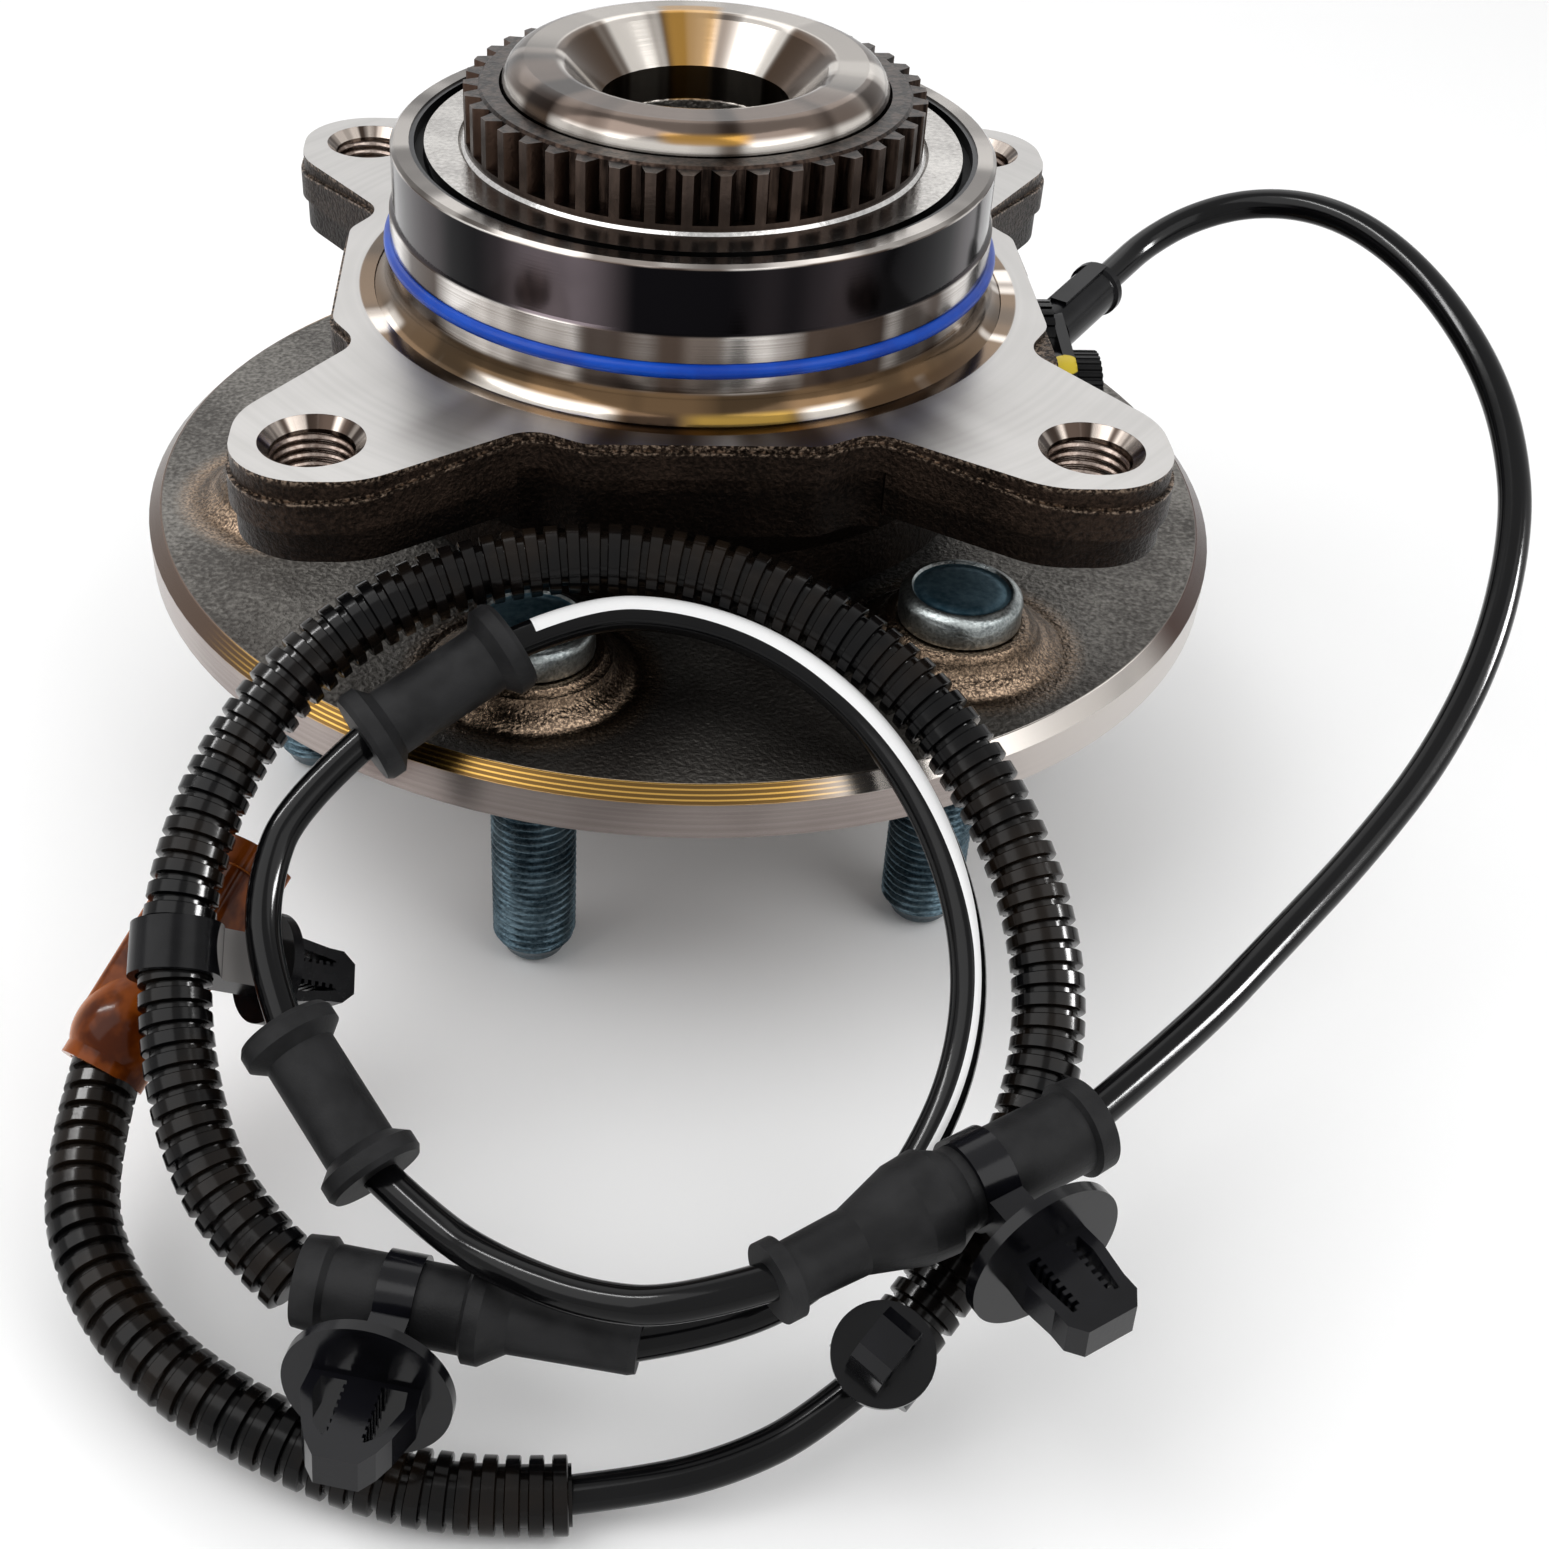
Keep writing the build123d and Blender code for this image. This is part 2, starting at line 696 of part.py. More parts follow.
with BuildPart() as seat:
    with BuildSketch(Plane.YZ.offset(sensor_face)):
        with Locations((sensor_side, sensor_seat_height)):
            Circle(sensor_head_diameter / 2)
            with PolarLocations(sensor_head_diameter / 2, serrations):
                RegularPolygon(serration_depth, 3, mode=Mode.SUBTRACT)
    extrude(amount=sensor_head_thickness)
save(seat, "sensor_seat")

seat_face = sensor_face + sensor_head_thickness
tube_start = Vector(seat_face + 2, sensor_side + 3, sensor_seat_height + 4)
tube_way = Vector(0.62, 0.77, 0.12).normalized()
tube_end = tube_start + tube_way * sensor_tube_length
with BuildPart() as body:
    tube_r = sensor_tube_diameter / 2
    lip_r = sensor_tube_collar / 2
    with BuildSketch(axis_plane(tube_start, tube_way)):
        with BuildLine():
            Polyline(
                (0, -3),
                (tube_r, -3),
                (tube_r, sensor_tube_length - 2.2),
                (lip_r, sensor_tube_length - 1.8),
                (lip_r, sensor_tube_length - 0.6),
                (lip_r - 0.6, sensor_tube_length),
                (0, sensor_tube_length),
                close=True,
            )
        make_face()
    revolve(axis=Axis(tube_start, tube_way))
    with BuildSketch(Plane(origin=tube_start, x_dir=Z_AXIS.cross(tube_way), z_dir=tube_way)):
        with Locations((0, tube_r)):
            Rectangle(sensor_key_width, 2 * (lip_r - tube_r))
    extrude(amount=sensor_tube_length - 1)
    with BuildSketch(Plane.YZ.offset(seat_face)):
        Rectangle(beyond, beyond)
    extrude(amount=-beyond, mode=Mode.SUBTRACT)
    with BuildSketch(Plane.YZ.offset(seat_face)) as link:
        with Locations((sensor_side, sensor_seat_height)):
            Circle(sensor_head_diameter / 2 - sensor_body_margin)
        with Locations((cap_side, cap_height)):
            Circle(cap_foot_diameter / 2)
        make_hull()
    extrude(amount=sensor_body_thickness)
    with BuildSketch(Plane.YZ.offset(sensor_face)):
        with Locations((cap_side, cap_height)):
            Circle(cap_foot_diameter / 2)
        with Locations((sensor_side, sensor_seat_height)):
            Circle(sensor_head_diameter / 2, mode=Mode.SUBTRACT)
    extrude(amount=sensor_head_thickness)
save(body, "sensor_body")

with BuildPart() as cap:
    with BuildSketch(Plane.YZ.offset(seat_face + sensor_body_thickness)):
        with Locations((cap_side, cap_height)):
            Circle(cap_diameter / 2)
            with PolarLocations(cap_diameter / 2, cap_flutes):
                Circle(cap_flute_depth, mode=Mode.SUBTRACT)
    extrude(amount=cap_length)
save(cap, "sensor_cap")


# ------------------------------------------------------------------ harness
def strip(v):
    return Vector(*v)


def tube(name, diameter, points):
    """A cord: straight runs joined by the largest tangent arcs that its runs allow."""
    p = [strip(v) for v in points]
    runs = [p[i + 1] - p[i] for i in range(len(p) - 1)]
    radii = []
    for before, after in zip(runs, runs[1:]):
        half = radians(before.get_angle(after)) / 2
        radii.append(0.45 * min(before.length, after.length) / tan(half))
    with BuildPart() as cord:
        with BuildLine() as path:
            FilletPolyline(*p, radius=radii)
        route = path.wire()
        with BuildSketch(Plane(origin=route @ 0, z_dir=route % 0)):
            Circle(diameter / 2)
        sweep()
    length = route.length
    share = cord.part.volume / (pi * diameter**2 / 4 * length)
    print(f"{name}: length {length:.0f}, volume share {share:.3f}, radii", [round(r) for r in radii])
    save(cord, name)


# where the moulded pieces on the harness lie
right_start, right_end = Vector(5, -165.5, 38), Vector(48, -142.5, 41.5)
left_start, left_end = Vector(-44.8, -140.3, 29), Vector(-58.2, -123, 39.7)
top_start, top_end = Vector(-49, -88.3, 62.4), Vector(-28, -76.4, 71.2)
front_start, front_end = Vector(-54, -151.8, 22.4), Vector(-10.4, -161.8, 21.2)
plug_start, plug_way = Vector(-86, -115.5, 23.5), Vector(0.47, 0.73, 0.49).normalized()

tube(
    "lead_sensor",
    lead_diameter,
    [
        tuple(tube_end - tube_way * entry),
        (75.2, 11.6, 90.4),
        (81, 17.5, 92.5),
        (89, 21.5, 95.5),
        (98, 21.5, 98.5),
        (106.5, 17, 100.5),
        (113.5, 9.5, 100.8),
        (119.5, 0, 99),
        (124.5, -11.5, 95.5),
        (128, -25, 90.5),
        (128.8, -38, 84.8),
        (127, -52, 77.5),
        (120, -69, 66.5),
        (109, -84, 56.5),
        (95, -98, 49.5),
        (80, -112, 45),
        (65, -127, 42.5),
        tuple(right_end + (right_start - right_end).normalized() * entry),
    ],
)
tube(
    "lead_lower",
    lead_diameter,
    [
        tuple(right_start + (right_end - right_start).normalized() * entry),
        (-6, -168, 36.5),
        (-17, -164, 33),
        (-28, -157.4, 31.3),
        (-37, -148.4, 28.6),
        tuple(left_start + (left_end - left_start).normalized() * entry),
    ],
)
tube(
    "lead_left",
    lead_diameter,
    [
        tuple(left_end + (left_start - left_end).normalized() * entry),
        (-61.5, -115, 44.5),
        (-62, -105, 50.5),
        (-58.5, -96, 57),
        tuple(top_start + (top_end - top_start).normalized() * entry),
    ],
)
tube(
    "lead_loop",
    lead_diameter,
    [
        tuple(top_end + (top_start - top_end).normalized() * entry),
        (-17.5, -72.5, 74),
        (-3, -73, 74),
        (11.5, -78, 71),
        (24, -88, 65),
        (32.5, -101.5, 56.5),
        (36, -116, 47),
        (33.5, -130, 38.5),
        (26, -142, 31),
        (15.5, -152, 25),
        (3, -159, 21.5),
        tuple(front_end + (front_start - front_end).normalized() * entry),
    ],
)
tube(
    "conduit_upper",
    conduit_diameter,
    [
        (-54.6, -151.8, 22.0),
        (-63.8, -144.6, 25.8),
        (-70, -134, 32),
        (-73.5, -120.5, 40),
        (-73.5, -106, 49.5),
        (-69, -91.5, 59),
        (-59.5, -79.5, 68),
        (-45, -70.5, 75),
        (-27.5, -65.7, 78.5),
        (-8, -65.3, 79.2),
        (11, -70.6, 76.5),
        (28, -81.4, 70),
        (40, -96, 60.5),
        (46, -111, 50.3),
        (46.5, -125.5, 40.5),
        (41, -139, 31),
        (32.5, -149.3, 23.4),
        (25, -157, 18.4),
        (18.3, -163.1, 14),
    ],
)
tube(
    "lead_link",
    lead_diameter,
    [
        (19.7, -161.8, 14.9),
        (11.5, -166.8, 10.9),
        (2, -170.3, 8.4),
        (-9, -172.3, 6.6),
        (-21, -172.8, 5.3),
    ],
)
tube(
    "conduit_lower",
    conduit_diameter,
    [
        (-19, -172.7, 5.4),
        (-32, -173, 5.2),
        (-46, -170, 6.3),
        (-60, -164.5, 8.5),
        (-73.5, -156.5, 11.5),
        (-83, -145, 15),
        (-87.5, -131, 19),
        tuple(plug_start + plug_way * entry),
    ],
)


def moulded(name, start, end, profile):
    """A rubber piece turned about the line from start to end; the profile is distance along it and diameter."""
    way = (end - start).normalized()
    with BuildPart() as piece:
        with BuildSketch(axis_plane(start, way)):
            with BuildLine():
                Polyline((0, profile[0][0]), *[(d / 2, a) for a, d in profile], (0, profile[-1][0]), close=True)
            make_face()
        revolve(axis=Axis(start, way))
    save(piece, name)


def sleeve(name, start, end):
    length = (end - start).length
    moulded(
        name,
        start,
        end,
        [
            (0, grommet_collar - 1),
            (0.8, grommet_collar),
            (2.8, grommet_collar),
            (4.4, grommet_body),
            (length - 4.4, grommet_body),
            (length - 2.8, grommet_collar),
            (length - 0.8, grommet_collar),
            (length, grommet_collar - 1),
        ],
    )


sleeve("grommet_left", left_start, left_end)
sleeve("grommet_top", top_start, top_end)
right_length = (right_end - right_start).length
moulded(
    "grommet_right",
    right_start,
    right_end,
    [
        (0, 10.6),
        (2.2, 10.6),
        (2.6, 8.2),
        (12, 8.8),
        (20, 13.6),
        (24, 14.2),
        (27, right_body),
        (right_length - 3.2, right_body),
        (right_length - 2.8, 13),
        (right_length, 12.6),
    ],
)
front_length = (front_end - front_start).length
moulded(
    "grommet_front",
    front_start,
    front_end,
    [
        (0, 12),
        (3.4, 12.6),
        (4.2, front_body),
        (22, front_body),
        (22.6, 12.8),
        (24.6, 12.8),
        (28, 8.4),
        (front_length - 1, 7.6),
        (front_length, 7),
    ],
)


def prong(base, tip, bar, rib):
    """Outline of a stem: two outer rails joined at the tip, with a ribbed bar between them."""
    slot_foot = dish_thickness + 0.8
    slot_top = stem_length - 3.2
    outer = [
        (base / 2, 0),
        (base / 2 + 0.3, 0.35 * stem_length),
        (tip / 2 + 0.55 * (base - tip) / 2, 0.68 * stem_length),
        (tip / 2 + 0.4, stem_length - 2),
        (tip / 2 - 1.2, stem_length),
    ]
    step = (slot_top - slot_foot) / stem_ribs
    inner = []
    for i in range(stem_ribs):
        foot = slot_foot + i * step
        inner.append((bar / 2, foot))
        inner.append((bar / 2, foot + (1 - rib_share) * step))
        inner.append((bar / 2 + rib, foot + (1 - rib_share) * step))
        inner.append((bar / 2 + rib, foot + step))
    slot = [
        *inner,
        (outer[3][0] - stem_rail - 0.2, slot_top),
        (outer[2][0] - stem_rail, outer[2][1]),
        (outer[1][0] - stem_rail, outer[1][1]),
        (base / 2 - stem_rail, slot_foot),
    ]
    with BuildSketch() as shape:
        with BuildLine():
            Polyline(*outer, *[(-x, y) for x, y in reversed(outer)], close=True)
        make_face()
        for side in (1, -1):
            with BuildLine():
                Polyline(*[(side * x, y) for x, y in slot], close=True)
            make_face(mode=Mode.SUBTRACT)
    return shape.sketch


def push_clip(name, centre, along, way, far, hold, band, width, dish, stem):
    """A push-in clip: a band round the harness at centre, a block, a dish and a stem pointing along way."""
    along = Vector(along).normalized()
    way = Vector(way)
    way = (way - along * way.dot(along)).normalized()
    face = Plane(origin=centre + way * far, x_dir=along, z_dir=way)
    with BuildPart() as clip:
        with BuildSketch(Plane(origin=centre - along * (width / 2), x_dir=way, z_dir=along)):
            Circle(hold / 2 + band)
            with Locations((far / 2, 0)):
                Rectangle(far, clip_block)
            Circle(hold / 2, mode=Mode.SUBTRACT)
        extrude(amount=width)
        with BuildSketch(face):
            Circle(dish / 2)
        extrude(amount=dish_thickness)
        with BuildSketch(Plane(origin=face.origin, x_dir=along, z_dir=along.cross(way))):
            add(prong(*stem))
        extrude(amount=stem_thickness / 2, both=True)
    save(clip, name)


strap = (strap_band, strap_width, dish_diameter)
wide_band = (conduit_diameter + 2 * clip_gap, clip_band, clip_width, small_dish_diameter)
narrow_band = (conduit_diameter + 2 * clip_gap, clip_band, lower_clip_width, lower_dish_diameter)
front_axis = (front_end - front_start).normalized()
front_way = (-0.19, -0.98, 0.08)
push_clip("clip_front", front_start + front_axis * 13.4, front_axis, front_way, 14, front_body, *strap, front_stem)
right_axis = (right_end - right_start).normalized()
right_way = (0.53, -0.88, -0.02)
push_clip("clip_right", right_start + right_axis * 31, right_axis, right_way, 12.5, right_body, *strap, right_stem)
left_centre, left_axis, left_way = Vector(-73.5, -113.25, 44.75), (0, 0.836, 0.548), (0.74, 0.154, -0.654)
push_clip("clip_left", left_centre, left_axis, left_way, 14, *wide_band, small_stem)
lower_centre, lower_axis, lower_way = Vector(21.1, -160.5, 15.8), (-0.67, -0.61, -0.44), (-0.535, -0.768, 0.276)
push_clip("clip_lower", lower_centre, lower_axis, lower_way, 7.6, *narrow_band, small_stem)

# connector: a socket for the vehicle's plug, with a collar for the conduit and a latch arm
plug_across = plug_way.cross(Z_AXIS).normalized()
latch_up = plug_way.cross(plug_across).normalized()
mouth = plug_start + plug_way * (connector_collar + connector_length)
neck_r = conduit_diameter / 2 + connector_wall
with BuildPart() as connector:
    with BuildSketch(axis_plane(plug_start, plug_way)):
        with BuildLine():
            Polyline((0, connector_neck), (0, 0), (neck_r, 0), (neck_r, 2))
            Spline(
                (neck_r, 2),
                (neck_r + 1.0, 5),
                (neck_r + 0.7, 0.6 * connector_neck),
                (connector_depth / 2 - 1, connector_neck),
            )
            Line((connector_depth / 2 - 1, connector_neck), (0, connector_neck))
        make_face()
    revolve(axis=Axis(plug_start, plug_way))
    with BuildSketch(Plane(origin=plug_start, x_dir=plug_across, z_dir=plug_way)):
        Circle(conduit_diameter / 2)
    extrude(amount=entry, mode=Mode.SUBTRACT)
    with BuildSketch(Plane(origin=plug_start + plug_way * connector_collar, x_dir=plug_across, z_dir=plug_way)):
        RectangleRounded(connector_width, connector_depth, 2)
    extrude(amount=connector_length)
    with BuildSketch(Plane(origin=mouth, x_dir=plug_across, z_dir=plug_way)):
        RectangleRounded(connector_width + 2 * connector_rim, connector_depth + 2 * connector_rim, 2.4)
    extrude(amount=-connector_rim_height)
    latch_foot = plug_start + plug_way * 2 - plug_across * (connector_width / 2 - 0.5)
    with BuildSketch(Plane(origin=latch_foot, x_dir=plug_way, z_dir=latch_up)):
        with BuildLine():
            Polyline(
                (9, -1),
                (9, 3.4),
                (2.4, 6.4),
                (0, 5.2),
                (-1.2, 6.6),
                (0.4, 8.2),
                (22, 5.2),
                (30, 3.4),
                (30, 2.4),
                (21, 3.6),
                (12, 4.4),
                (12, -1),
                close=True,
            )
        make_face()
    extrude(amount=latch_width / 2, both=True)
    with BuildSketch(Plane(origin=mouth, x_dir=plug_across, z_dir=plug_way)):
        with GridLocations(terminal_spacing, 1, 2, 1):
            Rectangle(2.4, 1.6)
    extrude(amount=-terminal_depth, mode=Mode.SUBTRACT)
save(connector, "connector_body")
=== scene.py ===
"""Looks of the wheel hub bearing: camera, materials, cords, threads, light and background.

The camera stands where the photograph was taken. The CAD nodes keep their meshes and take a finish each.
The leads, the conduits and the studs are replaced by pieces with their real corrugation and threads.
"""

import json
import math

import bmesh
import bpy
from mathutils import Matrix, Vector

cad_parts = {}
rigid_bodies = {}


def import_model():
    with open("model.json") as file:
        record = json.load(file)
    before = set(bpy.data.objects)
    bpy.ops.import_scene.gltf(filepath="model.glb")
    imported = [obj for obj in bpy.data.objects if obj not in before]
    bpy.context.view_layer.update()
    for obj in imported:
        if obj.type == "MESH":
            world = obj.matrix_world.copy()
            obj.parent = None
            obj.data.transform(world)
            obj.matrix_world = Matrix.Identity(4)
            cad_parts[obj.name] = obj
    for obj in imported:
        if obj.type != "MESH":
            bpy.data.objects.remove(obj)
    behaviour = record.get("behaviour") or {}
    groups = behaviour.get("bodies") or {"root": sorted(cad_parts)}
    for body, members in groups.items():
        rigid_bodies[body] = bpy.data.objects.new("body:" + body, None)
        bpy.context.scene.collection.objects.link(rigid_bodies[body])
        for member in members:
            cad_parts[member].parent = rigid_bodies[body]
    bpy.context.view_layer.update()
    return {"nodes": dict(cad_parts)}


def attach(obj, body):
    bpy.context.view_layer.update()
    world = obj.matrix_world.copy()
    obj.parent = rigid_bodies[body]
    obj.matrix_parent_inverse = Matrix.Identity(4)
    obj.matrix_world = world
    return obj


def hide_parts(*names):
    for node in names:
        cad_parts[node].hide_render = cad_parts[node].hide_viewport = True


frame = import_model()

MM = 0.001
NODES = frame["nodes"]

# ------------------------------------------------------------------ camera, as the photograph was taken
PHOTO = 1549
FOCAL = 2138.6  # in the photograph's pixels
AXIS_X, AXIS_Y = 662.3, 771.3  # where the lens axis meets the photograph
SENSOR = 36.0
VIEWPOINT = Vector((-0.020184, -0.332511, 0.245721))
RIGHT = Vector((0.998966, -0.033729, 0.030485))
UP = Vector((-0.003499, 0.611499, 0.791238))
FORWARD = UP.cross(RIGHT)


def make_camera():
    data = bpy.data.cameras.new("camera")
    data.sensor_width = SENSOR
    data.lens = FOCAL / PHOTO * SENSOR
    data.shift_x = (PHOTO / 2 - AXIS_X) / PHOTO
    data.shift_y = (AXIS_Y - PHOTO / 2) / PHOTO
    camera = bpy.data.objects.new("camera", data)
    bpy.context.scene.collection.objects.link(camera)
    turn = Matrix((RIGHT, UP, -FORWARD)).transposed().to_4x4()
    camera.matrix_world = Matrix.Translation(VIEWPOINT) @ turn
    bpy.context.scene.camera = camera


make_camera()


# ------------------------------------------------------------------ materials
def rgb(text):
    """A colour as a screen shows it, such as 8a8580, in the linear numbers that shaders take."""
    parts = [int(text[i : i + 2], 16) / 255 for i in (0, 2, 4)]
    linear = [c / 12.92 if c <= 0.04045 else ((c + 0.055) / 1.055) ** 2.4 for c in parts]
    return linear + [1]


TINY = 1e-5  # keeps a division by a length of 0 away
GLINT_SHARE = 0.85  # how much a painted reflection covers


class Shade:
    """One material and the nodes that work out its colour, roughness and bump from the place on it."""

    def __init__(self, name, **sockets):
        self.mat = bpy.data.materials.new(name)
        self.mat.use_nodes = True
        self.tree = self.mat.node_tree
        self.bsdf = self.tree.nodes["Principled BSDF"]
        self.place = self.node("ShaderNodeTexCoord").outputs["Object"]
        split = self.node("ShaderNodeSeparateXYZ", {"Vector": self.place})
        self.x, self.y, self.z = split.outputs
        self.normal = self.node("ShaderNodeNewGeometry").outputs["Normal"]
        self.up = self.node("ShaderNodeSeparateXYZ", {"Vector": self.normal}).outputs["Z"]
        self.set(**sockets)

    def node(self, kind, inputs=None, **settings):
        new = self.tree.nodes.new(kind)
        for key, value in settings.items():
            setattr(new, key, value)
        for key, value in (inputs or {}).items():
            self.put(new.inputs[key], value)
        return new

    def put(self, socket, value):
        if isinstance(value, bpy.types.NodeSocket):
            self.tree.links.new(value, socket)
        else:
            socket.default_value = value

    def set(self, **sockets):
        for key, value in sockets.items():
            self.put(self.bsdf.inputs[key.replace("_", " ")], value)

    def math(self, operation, *values):
        new = self.node("ShaderNodeMath", operation=operation)
        for socket, value in zip(new.inputs, values):
            self.put(socket, value)
        return new.outputs[0]

    def plus(self, a, b):
        return self.math("ADD", a, b)

    def minus(self, a, b):
        return self.math("SUBTRACT", a, b)

    def times(self, *values):
        product = values[0]
        for value in values[1:]:
            product = self.math("MULTIPLY", product, value)
        return product

    def most(self, *values):
        greatest = values[0]
        for value in values[1:]:
            greatest = self.math("MAXIMUM", greatest, value)
        return greatest

    def other(self, share):
        """1 where share is 0 and 0 where it is 1."""
        return self.minus(1.0, share)

    def step(self, value, low, high):
        """0 at low and 1 at high, smooth between them; low may be the greater."""
        inputs = {"Value": value, "From Min": low, "From Max": high}
        return self.node("ShaderNodeMapRange", inputs, interpolation_type="SMOOTHSTEP").outputs["Result"]

    def between(self, value, low, high, edge):
        """1 from low to high and 0 outside, with a soft edge at both."""
        rise = self.step(value, low - edge, low + edge)
        fall = self.step(value, high + edge, high - edge)
        return self.times(rise, fall)

    def mix(self, share, a, b):
        """Colour a where share is 0 and b where it is 1."""
        new = self.node("ShaderNodeMix", {0: share, 6: a, 7: b}, data_type="RGBA")
        return new.outputs[2]

    def blend(self, share, a, b):
        """Number a where share is 0 and b where it is 1."""
        new = self.node("ShaderNodeMix", {0: share, 2: a, 3: b}, data_type="FLOAT")
        return new.outputs[0]

    def length(self, x, y):
        return self.math("SQRT", self.plus(self.math("POWER", x, 2), self.math("POWER", y, 2)))

    def radius(self, x=0.0, y=0.0):
        """Distance from an upright line through x and y."""
        return self.length(self.minus(self.x, x), self.minus(self.y, y))

    def share_of(self, value, length):
        """value as a share of length, which may be 0."""
        return self.math("DIVIDE", value, self.most(length, TINY))

    def noise(self, size, detail=3.0, roughness=0.55, stretch=(1, 1, 1)):
        """Noise with features of about that size, in metres."""
        place = self.node("ShaderNodeMapping", {"Vector": self.place, "Scale": stretch}).outputs[0]
        inputs = {"Vector": place, "Scale": 1 / size, "Detail": detail, "Roughness": roughness}
        return self.node("ShaderNodeTexNoise", inputs).outputs["Fac"]

    def rings(self, size):
        """Noise that changes with the distance from the axis and with height only, as turning leaves it."""
        place = self.node("ShaderNodeCombineXYZ", {"X": self.radius(), "Y": 0.0, "Z": self.z}).outputs[0]
        inputs = {"Vector": place, "Scale": 1 / size, "Detail": 2.0}
        return self.node("ShaderNodeTexNoise", inputs).outputs["Fac"]

    def streaks(self, scale, shift=0.0, x=None, y=None):
        """Soft noise that changes only with the direction of x and y, so that it stands as upright bands,
        for painted reflections and shade.
        """
        if x is None:
            x, y = self.x, self.y
        away = self.length(x, y)
        inputs = {"X": self.share_of(x, away), "Y": self.share_of(y, away), "Z": shift}
        place = self.node("ShaderNodeCombineXYZ", inputs).outputs[0]
        inputs = {"Vector": place, "Scale": scale, "Detail": 1.5}
        return self.node("ShaderNodeTexNoise", inputs).outputs["Fac"]

    def glints(self, colour, spans, where):
        """colour with painted reflections in bands: each span has its ends and edge, as shares of x, and its
        tint.
        """
        across = self.share_of(self.x, self.radius())
        for start, end, edge, tint in spans:
            band = self.times(self.between(across, start, end, edge), where, GLINT_SHARE)
            colour = self.mix(band, colour, rgb(tint))
        return colour

    def bump(self, height, distance, normal=None):
        inputs = {"Height": height, "Distance": distance}
        if normal is not None:
            inputs["Normal"] = normal
        return self.node("ShaderNodeBump", inputs).outputs["Normal"]


# ------------------------------------------------------------------ finishes of the housing and the hub
EAR = 57.0 * MM  # an ear's hole from the axis, along x and along y
EAR_SINK_R = 7.91 * MM
KNUCKLE_FACE = 93.2 * MM
FLASH_RADII = (50 * MM, 97 * MM)  # the flash line falls away between them
FLASH_TOP = KNUCKLE_FACE - 0.4 * MM
FLASH_FALL = 3.5 * MM
LOWER_TIER = KNUCKLE_FACE - 8.7 * MM
PILOT_R = 54.4 * MM
PILOT_FOOT = 92.6 * MM
FILLET_LOW = 94.1 * MM
FILLET_TOP = 97.1 * MM
BLACK_BAND = (106.1 * MM, 116.3 * MM)
PILOT_RIM = 116.5 * MM
STUD_CIRCLE = 67.5 * MM
STUD_TURN = math.radians(8)
STUDS = [STUD_TURN + math.radians(60 * i) for i in range(6)]  # the direction of each
BOSS_EDGES = (21.5 * MM, 16.5 * MM)
BOSS_RIDGE = 14.6 * MM  # radius of a ridge round a stud
RIDGE_PITCH = 4.6 * MM
FLANGE_R = 90.0 * MM  # the turned rim begins here
FLANGE_CHAMFER = 54.05 * MM
FLANGE_UNDERSIDE = 48.1 * MM
GROOVE_PITCH = 0.55 * MM  # of the fine grooves in the rim's chamfer
HEAD_FOOT = 117.5 * MM
HEAD_LIP_R = 21.2 * MM
# painted reflections on the fillet and on the pilot, from the left, as shares of x: ends, edge and tint
FILLET_GLINTS = (
    (-0.66, -0.27, 0.05, "ddd6cd"),
    (-0.24, -0.07, 0.03, "3a2e26"),
    (-0.04, 0.27, 0.05, "ad8b42"),
    (0.3, 0.45, 0.04, "ddd6cd"),
    (0.48, 0.85, 0.05, "4e3c2b"),
)
PILOT_GLINTS = ((-0.37, -0.24, 0.03, "3d342f"), (-0.06, 0.05, 0.03, "6c625b"), (0.6, 0.7, 0.03, "4a403a"))
# a painted reflection on the black band
BAND_GLINT = (-0.56, -0.33, 0.07)  # on the black band: ends and edge


def forged(s, dark, light):
    """Colour, roughness and height of a forged and blasted skin."""
    grain = s.noise(0.7 * MM, 4, 0.6)
    patches = s.noise(12 * MM, 3)
    tone = s.plus(s.times(grain, 0.65), s.times(patches, 0.35))
    colour = s.mix(s.step(tone, 0.36, 0.68), rgb(dark), rgb(light))
    return colour, s.blend(grain, 0.62, 0.32), grain


def turned(s, dark, light, size):
    """Colour and height of a turned face."""
    lines = s.rings(size)
    clouds = s.noise(20 * MM, 2)
    tone = s.plus(s.times(lines, 0.5), s.times(clouds, 0.5))
    return s.mix(s.step(tone, 0.3, 0.7), rgb(dark), rgb(light)), lines


def forging_look(s, r):
    """The forged skin, darker below its lower tier, with the flash line and the upper edge rubbed bright."""
    skin, rough, grain = forged(s, "1a1512", "382d26")
    inner, outer = FLASH_RADII
    fall = s.times(s.minus(r, inner), FLASH_FALL / (outer - inner))
    above_line = s.plus(s.minus(s.z, FLASH_TOP), fall)
    flash = s.between(above_line, -0.35 * MM, 0.25 * MM, 0.2 * MM)
    edge = s.step(s.z, KNUCKLE_FACE - 1.1 * MM, KNUCKLE_FACE - 0.1 * MM)
    wear_and_reflection = s.step(s.noise(0.6 * MM, 3), 0.45, 0.62)
    rub = s.times(s.most(flash, edge), wear_and_reflection)
    lower = s.step(s.z, LOWER_TIER + 0.5 * MM, LOWER_TIER - 0.5 * MM)
    skin = s.mix(s.times(lower, 0.6), skin, rgb("0f0d0c"))
    colour = s.mix(s.times(rub, 0.62), skin, rgb("a08c7a"))
    return colour, s.blend(rub, rough, 0.28), grain


